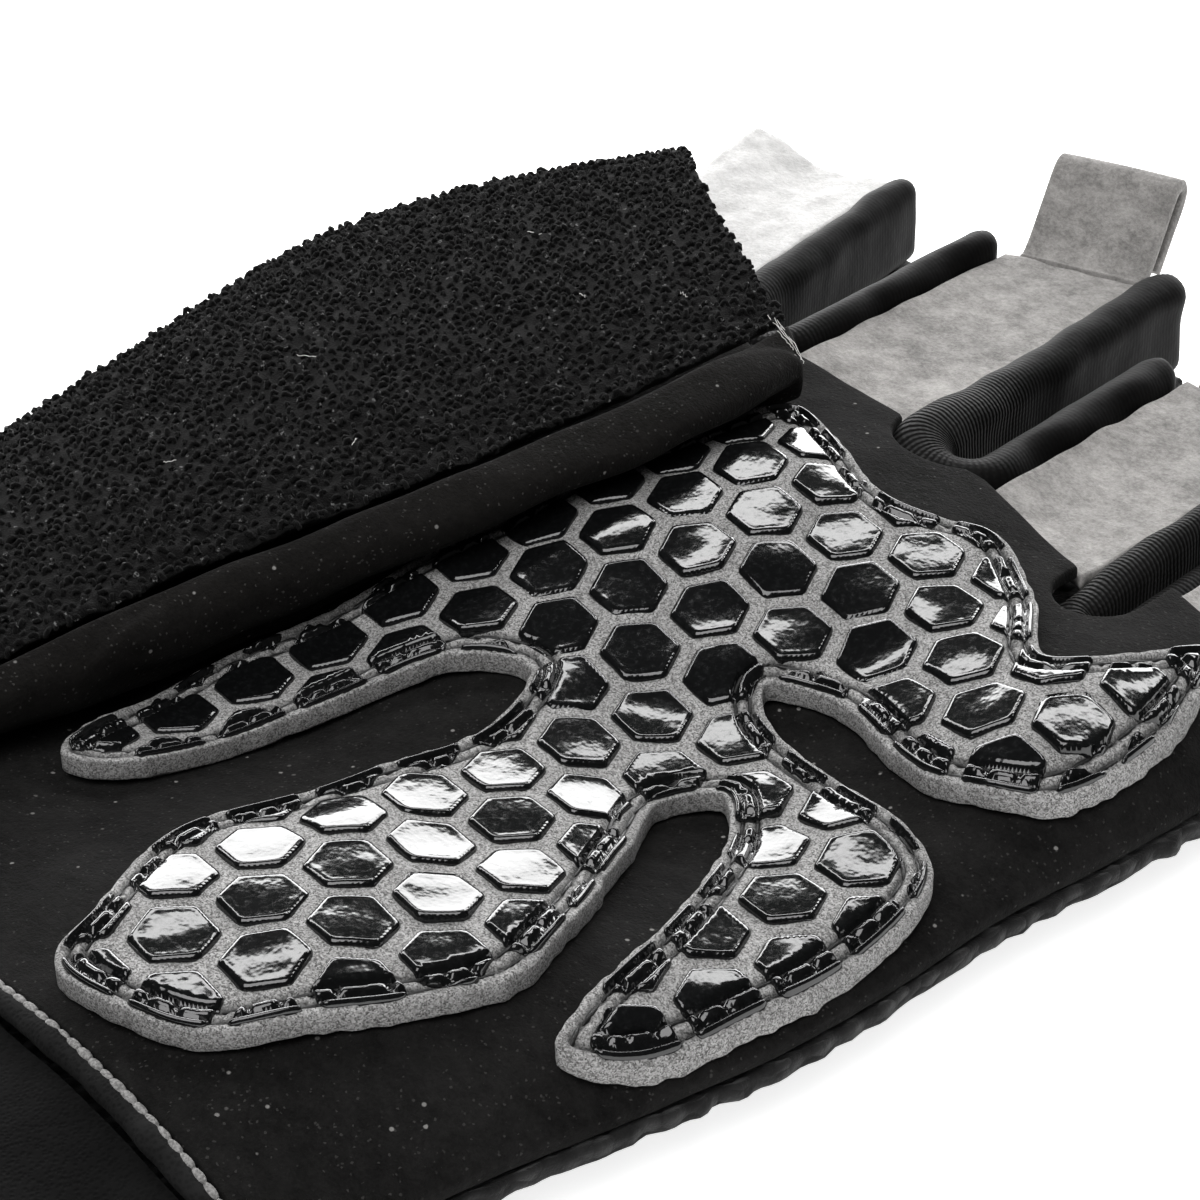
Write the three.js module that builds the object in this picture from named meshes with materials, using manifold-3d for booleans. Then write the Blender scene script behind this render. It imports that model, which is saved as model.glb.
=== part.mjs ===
// Left-hand fingerless weightlifting glove, lying on its back with the palm up.
// Millimetres, +Z up. The fingers point along +Y and the thumb is on the -X side.
// While it is built, X = 0 is the middle of the knuckles, Y = 0 the wrist and Z = 0 the floor.

import * as THREE from 'three';
import { mergeVertices } from 'three/addons/utils/BufferGeometryUtils.js';
import Module from 'manifold-3d';

const wasm = await Module();
wasm.setup();

// Driving dimensions
const PALM_WIDTH = 100;      // side seam to side seam across the knuckles
const PALM_LENGTH = 100;     // wrist to the crotch of the ring finger
const PALM_HEIGHT = 12;      // palm suede over the floor in the middle of the empty glove
const SUEDE = 1.3;           // palm and finger suede
const KNIT = 1.5;            // knit of the back
const GAP = 0.3;             // clearance between sewn pieces
const LAYER_GAP = 0.36;      // upright clearance between two layers that slope
const BACK_RIM = 0.4;        // how far the knit back shows past the palm at the side seams
const RIM_FROM = 0.86;       // share of the half width where the back starts to curl up
const MESH = 7.5;            // facet size of the draped panels

const FINGER_DROP = 1.2;     // finger suede below the palm at its root
const FINGER_TIP_HEIGHT = 9.6;
const FINGER_SAG = 0.9;      // dip of the finger suede between its side strips

const GRIP_WIDTH = 66;
const GRIP_LENGTH = 93;
const GRIP_MIDDLE_X = 14;    // middle of the grip patch from the palm's middle line
const GRIP_MIDDLE_Y = 51.5;  // and from the wrist
const GRIP_STEPS = 84;       // points round its cut edge
const GRIP_BACKING = 1.9;    // felt backing of the patch
const CELL_PITCH = 7.15;     // from one hexagon to the next
const CELL_WEB = 1.2;        // bare felt between two hexagons
const CELL_RAISE = 0.4;      // hexagons over the felt
const CELL_SINK = 0.8;       // root of each hexagon inside the felt
const CELL_TURN = 21.8;      // degrees from +X to a row of hexagons
const CELL_SHIFT = -0.4;     // nearest hexagon's middle along X from the patch's middle
const CELL_MARGIN = 0.7;     // bare felt between the hexagons and the cut edge
const CELL_LEAST_AREA = 8;   // square millimetres of the smallest cut hexagon

const TERRY = 2;             // towelling of the thumb
const THUMB_SUEDE = 1.2;
const THUMB_LIFT = 0.6;      // underside of the thumb over the palm it lies on
const THUMB_SQUARENESS = 3;  // exponent of the thumb's rounded section
const THUMB_CROWN = 0.10;    // swell of the thumb's middle, of PALM_HEIGHT
const THUMB_SEAM_RIGHT = 18; // degrees round the section to the seam over the palm
const THUMB_SEAM_LEFT = 200; // and to the seam over the side
const THUMB_SEAM_GAP = 12;   // degrees left open between towelling and suede

const FOURCHETTE_WIDTH = 4;   // side strip between the index and middle fingers
const FOURCHETTE_SQUARENESS = 3;

const TAB_WIDTH = 13;
const TAB_RISE = 8.5;        // length of the loop that stands up
const TAB_LEAN = 48;         // degrees from flat to upright
const TAB_SLIT = 1.1;

const CUFF_LENGTH = 40;
const CUFF_WALL = 1.8;
const CUFF_HEIGHT = 12.5;
const CUFF_SQUARENESS = 3.2;
const WRIST_SEAM = 1;         // middle of the piping from Y = 0
const PIPING_RADIUS = 0.9;
const PIPING_SINK = 0.25;    // centre of the piping below the palm's face
const STRAP_WIDTH = 24;
const STRAP_THICKNESS = 1.5;
const STRAP_GAP = 0.48;      // clearance under the strap along each axis
const STRAP_FROM_SEAM = 12;  // cuff's start to the strap's near edge
const STRAP_FROM = -115;     // degrees round the cuff where the strap starts on the back
const STRAP_TO = 80;         // and where its end lies on the palm side

// Tables. Rows hold shares chosen by hand of the sizes that their columns follow.

// Side seams: y of PALM_LENGTH, the edges of PALM_WIDTH.
const SIDES = [
  { y: -0.05, thumb: -0.415, little: 0.365 },
  { y: 0.00, thumb: -0.42, little: 0.37 },
  { y: 0.20, thumb: -0.47, little: 0.41 },
  { y: 0.40, thumb: -0.50, little: 0.46 },
  { y: 0.62, thumb: -0.51, little: 0.475 },
  { y: 0.75, thumb: -0.51, little: 0.493 },
  { y: 0.97, thumb: -0.51, little: 0.51 },
  { y: 1.10, thumb: -0.515, little: 0.505 },
  { y: 1.30, thumb: -0.545, little: 0.49 },
  { y: 1.50, thumb: -0.58, little: 0.475 },
];

// The two side seams: palm suede over the floor of PALM_HEIGHT, and how square its shoulder is.
const SEAMS = {
  thumb: { height: 0.50, power: 6 },
  little: { height: 0.67, power: 8 },
};

// Waves of the palm: place and reach of PALM_WIDTH and PALM_LENGTH, rise of PALM_HEIGHT.
const WAVES = [
  { name: 'palm hollow', x: 0.25, y: 0.57, reach: 0.20, rise: -0.33 },
  { name: 'heel swell', x: 0.18, y: 0.15, reach: 0.20, rise: 0.18 },
  { name: 'index root swell', x: 0.00, y: 0.84, reach: 0.19, rise: 0.20 },
  { name: 'little finger swell', x: 0.46, y: 0.80, reach: 0.15, rise: 0.30 },
  { name: 'thumb root hollow', x: -0.14, y: 0.38, reach: 0.17, rise: -0.34 },
];

// Corners of the four finger panels: x of PALM_WIDTH, y of PALM_LENGTH.
// The free side of the index and little fingers curls down to the side seam.
const FINGERS = [
  { name: 'index', free: 'left', rootLeft: [-0.505, 1.08], rootRight: [-0.315, 1.12],
    tipLeft: [-0.572, 1.49], tipRight: [-0.38, 1.485] },
  { name: 'middle', free: 'none', rootLeft: [-0.18, 1.105], rootRight: [-0.01, 1.073],
    tipLeft: [-0.184, 1.435], tipRight: [-0.03, 1.47] },
  { name: 'ring', free: 'none', rootLeft: [0.117, 1.032], rootRight: [0.261, 0.979],
    tipLeft: [0.11, 1.34], tipRight: [0.255, 1.31] },
  { name: 'little', free: 'right', rootLeft: [0.338, 1.005], rootRight: [0.485, 0.955],
    tipLeft: [0.335, 1.21], tipRight: [0.475, 1.18] },
];

// Side strips: width of FOURCHETTE_WIDTH, y of the crotch's centre of PALM_LENGTH, and height of
// the strip's top of PALM_HEIGHT, along the finger on its left and on its right.
const FOURCHETTES = [
  { name: 'index_middle_fourchette', width: 1.00, crotch: 1.145, topLeft: 0.93, topRight: 0.98 },
  { name: 'middle_ring_fourchette', width: 1.15, crotch: 1.08, topLeft: 1.05, topRight: 0.97 },
  { name: 'ring_little_fourchette', width: 0.80, crotch: 0.955, topLeft: 0.98, topRight: 0.80 },
];

// Outline of the grip patch, clockwise from the tip of its thumb arm, in hundredths of
// GRIP_WIDTH and GRIP_LENGTH from its middle.
const GRIP_OUTLINE = [
  [-42.5, -31.2], [-36.6, -28.8], [-30.7, -11.8], [-24.2, 0.9],     // thumb arm and its inner edge
  [-16.2, 4.6], [-11.2, -0.6], [-12.3, -16.8], [-17.1, -32.7],      // first slot and the heel lobe
  [-10.2, -45.4], [-7.4, -50.0], [2.8, -50.9], [13.4, -48.2],       // its corner
  [21.2, -39.4], [28.0, -26.5],                                     // heel
  [18.0, -7.8], [12.7, 0.3], [16.8, 4.1], [24.0, -0.9],             // second slot
  [31.6, -13.4], [34.6, -24.5], [37.3, -28.8], [42.4, -25.8],       // little finger's heel arm
  [48.2, -8.2], [45.0, 7.1], [29.0, 11.1], [11.5, 13.9],
  [7.5, 16.9], [15.0, 19.2], [34.2, 15.6], [47.4, 19.5],            // third slot
  [50.2, 31.9], [44.6, 44.3], [39.2, 37.7], [32.7, 32.2],           // little finger arm
  [22.2, 40.0], [9.4, 45.5], [-4.4, 42.6], [-16.3, 46.5],
  [-29.0, 49.6], [-35.0, 36.0], [-43.8, 1.0], [-48.6, -15.6],       // finger roots, beside the thumb
];

// Thumb from its root at the wrist to its open end: plan places of PALM_WIDTH and PALM_LENGTH,
// heights of PALM_HEIGHT. right lies on the palm, left hangs over the side seam.
const THUMB_ROWS = [
  { rightX: -0.200, rightY: 0.04, leftX: -0.43, leftY: 0.07, baseRight: 0.95, baseLeft: 1.02,
    topRight: 1.50, topLeft: 1.36 },
  { rightX: -0.180, rightY: 0.22, leftX: -0.50, leftY: 0.25, baseRight: 0.85, baseLeft: 0.94,
    topRight: 1.57, topLeft: 1.39 },
  { rightX: -0.196, rightY: 0.40, leftX: -0.545, leftY: 0.45, baseRight: 0.72, baseLeft: 0.88,
    topRight: 1.63, topLeft: 1.43 },
  { rightX: -0.153, rightY: 0.60, leftX: -0.58, leftY: 0.66, baseRight: 0.75, baseLeft: 0.82,
    topRight: 1.78, topLeft: 1.56 },
  { rightX: -0.102, rightY: 0.78, leftX: -0.615, leftY: 0.87, baseRight: 0.80, baseLeft: 0.84,
    topRight: 1.90, topLeft: 1.62 },
  { rightX: -0.080, rightY: 0.89, leftX: -0.585, leftY: 1.07, baseRight: 0.90, baseLeft: 0.90,
    topRight: 1.94, topLeft: 1.62 },
  { rightX: -0.068, rightY: 0.98, leftX: -0.49, leftY: 1.285, baseRight: 1.00, baseLeft: 0.98,
    topRight: 1.90, topLeft: 1.60 },
];

// Cuff past its seam: y from the seam of CUFF_LENGTH, edges of PALM_WIDTH, top of CUFF_HEIGHT.
const CUFF_ROWS = [
  { y: 0.00, thumb: -0.415, little: 0.365, top: 1.00 },
  { y: 0.35, thumb: -0.405, little: 0.355, top: 0.96 },
  { y: 0.70, thumb: -0.400, little: 0.35, top: 0.97 },
  { y: 1.00, thumb: -0.405, little: 0.355, top: 1.02 },
];

// Small helpers

const lerp = THREE.MathUtils.lerp;
const radians = THREE.MathUtils.degToRad;
const smooth = (from, to, value) => THREE.MathUtils.smoothstep(value, from, to);
const inPalm = ([x, y]) => [x * PALM_WIDTH, y * PALM_LENGTH];

// Value of a table's column at a place between its rows, on a smooth curve through them.
function along(rows, key, column, place) {
  const at = THREE.MathUtils.clamp(place, rows[0][key], rows[rows.length - 1][key]);
  let i = 0;
  while (i < rows.length - 2 && at > rows[i + 1][key]) i += 1;
  const t = (at - rows[i][key]) / (rows[i + 1][key] - rows[i][key]);
  const before = rows[Math.max(i - 1, 0)];
  const after = rows[Math.min(i + 2, rows.length - 1)];
  const span = rows[i + 1][key] - rows[i][key];
  const slopeA = (rows[i + 1][column] - before[column]) / (rows[i + 1][key] - before[key]) * span;
  const slopeB = (after[column] - rows[i][column]) / (after[key] - rows[i][key]) * span;
  const t2 = t * t;
  const t3 = t2 * t;
  return (2 * t3 - 3 * t2 + 1) * rows[i][column] + (t3 - 2 * t2 + t) * slopeA
    + (3 * t2 - 2 * t3) * rows[i + 1][column] + (t3 - t2) * slopeB;
}

// Closed solid between an outer and an inner grid of points, each grid[i][j] a Vector3.
// A loop grid closes on itself along i, and its two ends along j get ring walls.
function shell(outer, inner, isLoop = false) {
  const rows = outer.length;
  const columns = outer[0].length;
  const positions = [];
  for (const grid of [outer, inner]) {
    for (const row of grid) {
      for (const p of row) positions.push(p.x, p.y, p.z);
    }
  }
  const index = [];
  const at = (side, i, j) => side * rows * columns + (i % rows) * columns + j;
  const quad = (a, b, c, d) => index.push(a, b, c, a, c, d);
  const lastRow = isLoop ? rows : rows - 1;
  for (let i = 0; i < lastRow; i += 1) {
    for (let j = 0; j < columns - 1; j += 1) {
      quad(at(0, i, j), at(0, i + 1, j), at(0, i + 1, j + 1), at(0, i, j + 1));
      quad(at(1, i, j), at(1, i, j + 1), at(1, i + 1, j + 1), at(1, i + 1, j));
    }
    quad(at(0, i, 0), at(1, i, 0), at(1, i + 1, 0), at(0, i + 1, 0));
    const end = columns - 1;
    quad(at(0, i, end), at(0, i + 1, end), at(1, i + 1, end), at(1, i, end));
  }
  if (!isLoop) {
    for (let j = 0; j < columns - 1; j += 1) {
      quad(at(0, 0, j), at(0, 0, j + 1), at(1, 0, j + 1), at(1, 0, j));
      const end = rows - 1;
      quad(at(0, end, j), at(1, end, j), at(1, end, j + 1), at(0, end, j + 1));
    }
  }
  const geometry = new THREE.BufferGeometry();
  geometry.setAttribute('position', new THREE.Float32BufferAttribute(positions, 3));
  geometry.setIndex(index);
  return geometry;
}

// Solid tube along a path: section(t) gives the loop of [across, up] pairs at share t of the path.
function sweep(path, section, steps) {
  const rings = [];
  for (let i = 0; i <= steps; i += 1) {
    const t = i / steps;
    const p = path.getPointAt(t);
    const way = path.getTangentAt(t);
    const across = new THREE.Vector3(way.y, -way.x, 0).normalize();
    rings.push(section(t).map(([a, up]) => p.clone().addScaledVector(across, a)
      .add(new THREE.Vector3(0, 0, up))));
  }
  const sides = rings[0].length;
  const positions = rings.flat().flatMap((p) => [p.x, p.y, p.z]);
  const index = [];
  for (let i = 0; i < steps; i += 1) {
    for (let k = 0; k < sides; k += 1) {
      const a = i * sides + k;
      const b = i * sides + (k + 1) % sides;
      index.push(a, a + sides, b + sides, a, b + sides, b);
    }
  }
  for (let k = 1; k < sides - 1; k += 1) {
    index.push(0, k, k + 1);
    const last = steps * sides;
    index.push(last, last + k + 1, last + k);
  }
  const geometry = new THREE.BufferGeometry();
  geometry.setAttribute('position', new THREE.Float32BufferAttribute(positions, 3));
  geometry.setIndex(index);
  return geometry;
}

// A point of a rounded square of half width 1 and half height 1, at an angle in degrees.
function roundedSquare(angle, power) {
  const c = Math.cos(radians(angle));
  const s = Math.sin(radians(angle));
  const bend = (value) => Math.sign(value) * Math.abs(value) ** (2 / power);
  return [bend(c), bend(s)];
}

// A solid from a closed mesh, turned right side out where its loops ran the other way.
function solid(geometry) {
  const bare = geometry.index ? geometry.clone() : geometry;
  bare.deleteAttribute('normal');
  bare.deleteAttribute('uv');
  const merged = mergeVertices(bare, 1e-4);
  const vertProperties = new Float32Array(merged.attributes.position.array);
  const triVerts = new Uint32Array(merged.index.array);
  const body = new wasm.Manifold(new wasm.Mesh({ numProp: 3, vertProperties, triVerts }));
  if (body.volume() > 0) return body;
  for (let i = 0; i < triVerts.length; i += 3) triVerts.subarray(i, i + 3).reverse();
  return new wasm.Manifold(new wasm.Mesh({ numProp: 3, vertProperties, triVerts }));
}

// Upright prism through the whole glove on a closed plan outline of [x, y] pairs.
function column(outline, low = -PALM_HEIGHT, high = 3 * PALM_HEIGHT) {
  const shape = new THREE.Shape(outline.map(([x, y]) => new THREE.Vector2(x, y)));
  const geometry = new THREE.ExtrudeGeometry(shape, { depth: high - low, bevelEnabled: false });
  geometry.translate(0, 0, low);
  return solid(geometry);
}

// Cloth cut to a plan outline and laid between two height functions of x and y.
// All draped pieces share one net of facets, so neighbouring layers stay parallel.
function drape(cutter, outline, top, bottom) {
  const xs = outline.map((p) => p[0]);
  const ys = outline.map((p) => p[1]);
  const firstX = Math.floor(Math.min(...xs) / MESH) - 1;
  const lastX = Math.ceil(Math.max(...xs) / MESH) + 1;
  const firstY = Math.floor(Math.min(...ys) / MESH) - 1;
  const lastY = Math.ceil(Math.max(...ys) / MESH) + 1;
  const upper = [];
  const lower = [];
  for (let i = firstX; i <= lastX; i += 1) {
    const x = i * MESH;
    const up = [];
    const down = [];
    for (let j = firstY; j <= lastY; j += 1) {
      up.push(new THREE.Vector3(x, j * MESH, top(x, j * MESH)));
      down.push(new THREE.Vector3(x, j * MESH, bottom(x, j * MESH)));
    }
    upper.push(up);
    lower.push(down);
  }
  return solid(shell(upper, lower)).intersect(cutter);
}

function toMesh(body, name, material) {
  const { vertProperties, triVerts } = body.getMesh();
  const geometry = new THREE.BufferGeometry();
  geometry.setAttribute('position', new THREE.BufferAttribute(new Float32Array(vertProperties), 3));
  geometry.setIndex(new THREE.BufferAttribute(new Uint32Array(triVerts), 1));
  geometry.computeVertexNormals();
  const mesh = new THREE.Mesh(geometry, material);
  mesh.name = name;
  return mesh;
}

// Materials

const finish = (color, roughness) => new THREE.MeshStandardMaterial({ color, roughness, metalness: 0 });
const BLACK_SUEDE = finish(0x1c1a1b, 0.95);
const BLACK_KNIT = finish(0x121214, 0.9);
const GREY_SUEDE = finish(0x8f8b8a, 0.95);
const GRIP_GEL = finish(0x0b0b0d, 0.25);
const RIBBED_KNIT = finish(0x17161b, 0.7);
const TOWELLING = finish(0x101012, 1);
const CUFF_CLOTH = finish(0x151517, 0.85);
const PIPING = finish(0x5e5c5b, 0.9);

// Heights of the palm and of the back

const sideAt = (side, y) => along(SIDES, 'y', side, y / PALM_LENGTH) * PALM_WIDTH;

// Place across the glove, from -1 at the thumb's side seam to 1 at the little finger's.
function acrossAt(x, y) {
  const left = sideAt('thumb', y);
  const right = sideAt('little', y);
  return THREE.MathUtils.clamp((2 * x - left - right) / (right - left), -1, 1);
}

const seamOf = (across) => (across < 0 ? SEAMS.thumb : SEAMS.little);

function palmTop(x, y) {
  const across = acrossAt(x, y);
  const seam = seamOf(across);
  const dome = 1 - Math.abs(across) ** seam.power;
  let z = PALM_HEIGHT * lerp(seam.height, 1, dome);
  for (const wave of WAVES) {
    const dx = (x - wave.x * PALM_WIDTH) / (wave.reach * PALM_WIDTH);
    const dy = (y - wave.y * PALM_LENGTH) / (wave.reach * PALM_LENGTH);
    z += dome * wave.rise * PALM_HEIGHT * Math.exp(-dx * dx - dy * dy);
  }
  return z;
}

function backBottom(x, y) {
  const across = acrossAt(x, y);
  const lift = seamOf(across).height * PALM_HEIGHT - SUEDE - LAYER_GAP - KNIT;
  return lift * smooth(RIM_FROM, 1, Math.abs(across));
}

// Fingers

const fingers = FINGERS.map((row) => ({
  ...row,
  rootLeft: inPalm(row.rootLeft),
  rootRight: inPalm(row.rootRight),
  tipLeft: inPalm(row.tipLeft),
  tipRight: inPalm(row.tipRight),
}));

const mix = (a, b, t) => [lerp(a[0], b[0], t), lerp(a[1], b[1], t)];

// Plan place on a finger panel: u from its left edge to its right, v from its root to its tip.
function onFinger(finger, u, v) {
  return mix(mix(finger.rootLeft, finger.rootRight, u), mix(finger.tipLeft, finger.tipRight, u), v);
}

function fingerTop(finger, u, v) {
  const level = lerp(PALM_HEIGHT - FINGER_DROP, FINGER_TIP_HEIGHT, v);
  const dip = FINGER_SAG * Math.sin(Math.PI * u) * Math.sin(Math.PI * Math.min(v + 0.2, 1));
  if (finger.free === 'none') return level - dip;
  const seam = finger.free === 'left' ? SEAMS.thumb : SEAMS.little;
  const toFree = finger.free === 'left' ? 1 - 2 * u : 2 * u - 1;
  return lerp(level - dip, seam.height * PALM_HEIGHT, Math.max(toFree, 0) ** seam.power);
}

function fingerPanel(finger) {
  const across = 8;
  const lengthwise = 5;
  const startShare = 1.5 * GAP / (finger.tipLeft[1] - finger.rootLeft[1]);
  const upper = [];
  const lower = [];
  for (let i = 0; i <= across; i += 1) {
    const u = i / across;
    const up = [];
    const down = [];
    for (let j = 0; j <= lengthwise; j += 1) {
      const v = lerp(startShare, 1, j / lengthwise);
      const [x, y] = onFinger(finger, u, v);
      const z = fingerTop(finger, u, v);
      up.push(new THREE.Vector3(x, y, z));
      down.push(new THREE.Vector3(x, y, z - SUEDE));
    }
    upper.push(up);
    lower.push(down);
  }
  return toMesh(solid(shell(upper, lower)), `${finger.name}_panel`, GREY_SUEDE);
}

// Side strips between the fingers

// Line beside a finger's edge, given by where it is at a y and at the finger's tip.
function legBeside(root, tip, side, offset, y) {
  const slope = (tip[0] - root[0]) / (tip[1] - root[1]);
  return [root[0] + slope * (y - root[1]) + side * offset, y];
}

const strips = FOURCHETTES.map((row, i) => {
  const left = fingers[i];
  const right = fingers[i + 1];
  const width = row.width * FOURCHETTE_WIDTH;
  const offset = GAP + width / 2;
  const crotchY = row.crotch * PALM_LENGTH;
  const rootA = legBeside(left.rootRight, left.tipRight, 1, offset, crotchY);
  const rootB = legBeside(right.rootLeft, right.tipLeft, -1, offset, crotchY);
  return {
    name: row.name,
    width,
    topLeft: row.topLeft * PALM_HEIGHT,
    topRight: row.topRight * PALM_HEIGHT,
    tipA: legBeside(left.rootRight, left.tipRight, 1, offset, left.tipRight[1]),
    tipB: legBeside(right.rootLeft, right.tipLeft, -1, offset, right.tipLeft[1]),
    centre: mix(rootA, rootB, 0.5),
    bend: (rootB[0] - rootA[0]) / 2,
  };
});

const STRIP_STEPS = 22;
const STRIP_SIDES = 10;

function fourchette(strip) {
  const corner = (angle) => new THREE.Vector3(
    strip.centre[0] + strip.bend * Math.cos(radians(angle)),
    strip.centre[1] + strip.bend * Math.sin(radians(angle)),
    0,
  );
  const route = new THREE.CurvePath();
  route.add(new THREE.LineCurve3(new THREE.Vector3(...strip.tipA, 0), corner(180)));
  const turn = [180, 225, 270, 315, 360].map(corner);
  route.add(new THREE.CatmullRomCurve3(turn));
  route.add(new THREE.LineCurve3(corner(360), new THREE.Vector3(...strip.tipB, 0)));
  const bottom = KNIT + GAP;
  const section = (t) => {
    const top = lerp(strip.topLeft, strip.topRight, smooth(0.3, 0.7, t));
    const loop = [];
    for (let k = 0; k < STRIP_SIDES; k += 1) {
      const [a, up] = roundedSquare((k + 0.5) * 360 / STRIP_SIDES, FOURCHETTE_SQUARENESS);
      loop.push([a * strip.width / 2, lerp(bottom, top, (up + 1) / 2)]);
    }
    return loop;
  };
  return toMesh(solid(sweep(route, section, STRIP_STEPS)), strip.name, RIBBED_KNIT);
}

// Palm, back and their outlines

const palmStart = WRIST_SEAM + PIPING_RADIUS + GAP;
const cuffStart = WRIST_SEAM - PIPING_RADIUS - GAP;

const SIDE_STEPS = 12;

function sideLine(side, fromY, toY, outward) {
  const points = [];
  const sign = side === 'thumb' ? -1 : 1;
  for (let i = 0; i <= SIDE_STEPS; i += 1) {
    const y = lerp(fromY, toY, i / SIDE_STEPS);
    points.push([sideAt(side, y) + sign * outward, y]);
  }
  return points;
}

// Half circle round a crotch's centre, through its wrist side, from the thumb side over.
function crotchArc(strip, radius) {
  const points = [];
  for (let angle = 180; angle <= 360; angle += 30) {
    points.push([
      strip.centre[0] + radius * Math.cos(radians(angle)),
      strip.centre[1] + radius * Math.sin(radians(angle)),
    ]);
  }
  return points;
}

function palmPanel() {
  const outline = [
    ...sideLine('little', palmStart, fingers[3].rootRight[1], 0),
    ...fingers.toReversed().flatMap((finger, i) => {
      const strip = strips[2 - i];
      const line = [finger.rootRight, finger.rootLeft];
      if (!strip) return line;
      const top = strip.centre[1] - strip.bend / 2;
      const next = fingers[2 - i];
      return [...line, [finger.rootLeft[0] - 2 * GAP, top], [next.rootRight[0] + 2 * GAP, top]];
    }),
    ...sideLine('thumb', fingers[0].rootLeft[1], palmStart, 0).slice(1),
  ];
  let cutter = column(outline);
  for (const strip of strips) {
    const radius = strip.bend + strip.width / 2 + GAP;
    const above = strip.centre[1] + 2 * radius;
    cutter = cutter.subtract(column([
      ...crotchArc(strip, radius),
      [strip.centre[0] + radius, above],
      [strip.centre[0] - radius, above],
    ]));
  }
  const bottom = (x, y) => palmTop(x, y) - SUEDE;
  return toMesh(drape(cutter, outline, palmTop, bottom), 'palm_panel', BLACK_SUEDE);
}

// Plan outline of the back: round the little finger's side, in and out of the three crotches
// just inside the side strips, and down the thumb's side.
function backPanel() {
  const wristEnd = cuffStart + GAP;
  const outline = [...sideLine('little', wristEnd, fingers[3].tipRight[1], BACK_RIM)];
  for (const i of [2, 1, 0]) {
    const strip = strips[i];
    const half = strip.width / 2;
    outline.push([strip.tipB[0] - half, fingers[i + 1].tipLeft[1]]);
    outline.push(...crotchArc(strip, strip.bend - half).toReversed());
    outline.push([strip.tipA[0] + half, fingers[i].tipRight[1]]);
  }
  outline.push(...sideLine('thumb', fingers[0].tipLeft[1], wristEnd, BACK_RIM));
  const top = (x, y) => backBottom(x, y) + KNIT;
  return toMesh(drape(column(outline), outline, top, backBottom), 'back_panel', BLACK_KNIT);
}

// Grip patch

const gripPoint = ([x, y]) => new THREE.Vector3(
  GRIP_MIDDLE_X + x * GRIP_WIDTH / 100,
  GRIP_MIDDLE_Y + y * GRIP_LENGTH / 100,
  0,
);

// Outline of the patch, moved inward from its cut edge by an inset.
function gripOutline(inset) {
  const curve = new THREE.CatmullRomCurve3(GRIP_OUTLINE.map(gripPoint), true);
  const points = [];
  for (let i = 0; i < GRIP_STEPS; i += 1) {
    const p = curve.getPointAt(i / GRIP_STEPS);
    const way = curve.getTangentAt(i / GRIP_STEPS);
    points.push([p.x - way.y * inset, p.y + way.x * inset]);
  }
  return points;
}

const gripBottom = (x, y) => palmTop(x, y) + LAYER_GAP;
const gripTop = (x, y) => gripBottom(x, y) + GRIP_BACKING;

function hexagon(x, y) {
  const radius = (CELL_PITCH - CELL_WEB) / Math.sqrt(3);
  const corners = [];
  for (let k = 0; k < 6; k += 1) {
    const angle = radians(CELL_TURN + 30 + 60 * k);
    corners.push([x + radius * Math.cos(angle), y + radius * Math.sin(angle)]);
  }
  return corners;
}

function cell(corners) {
  const upper = corners.map(([x, y]) => [x, y, gripTop(x, y) + CELL_RAISE]);
  const lower = corners.map(([x, y]) => [x, y, gripTop(x, y) - CELL_SINK]);
  const index = [];
  const sides = corners.length;
  for (let k = 0; k < sides; k += 1) {
    const next = (k + 1) % sides;
    index.push(k, k + sides, next + sides, k, next + sides, next);
  }
  for (let k = 1; k < sides - 1; k += 1) index.push(0, k, k + 1, sides, sides + k + 1, sides + k);
  const geometry = new THREE.BufferGeometry();
  geometry.setAttribute('position', new THREE.Float32BufferAttribute([...upper, ...lower].flat(), 3));
  geometry.setIndex(index);
  return solid(geometry);
}

function gripPatch() {
  const outline = gripOutline(0);
  const backing = drape(column(outline), outline, gripTop, gripBottom);
  const inside = column(gripOutline(CELL_MARGIN));
  const rowWay = radians(CELL_TURN);
  const columnWay = radians(CELL_TURN - 60);
  const reach = Math.ceil(GRIP_LENGTH / CELL_PITCH);
  const cells = [];
  for (let i = -reach; i <= reach; i += 1) {
    for (let j = -reach; j <= reach; j += 1) {
      const x = CELL_SHIFT + CELL_PITCH * (i * Math.cos(rowWay) + j * Math.cos(columnWay));
      const y = CELL_PITCH * (i * Math.sin(rowWay) + j * Math.sin(columnWay));
      if (Math.abs(x) > GRIP_WIDTH || Math.abs(y) > GRIP_LENGTH) continue;
      const cut = cell(hexagon(GRIP_MIDDLE_X + x, GRIP_MIDDLE_Y + y)).intersect(inside);
      if (cut.volume() > CELL_LEAST_AREA * (CELL_RAISE + CELL_SINK)) cells.push(cut);
    }
  }
  return toMesh(backing.add(wasm.Manifold.union(cells)), 'grip_patch', GRIP_GEL);
}

// Thumb

const THUMB_STATIONS = 9;
const THUMB_LOOP = 14;

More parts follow.
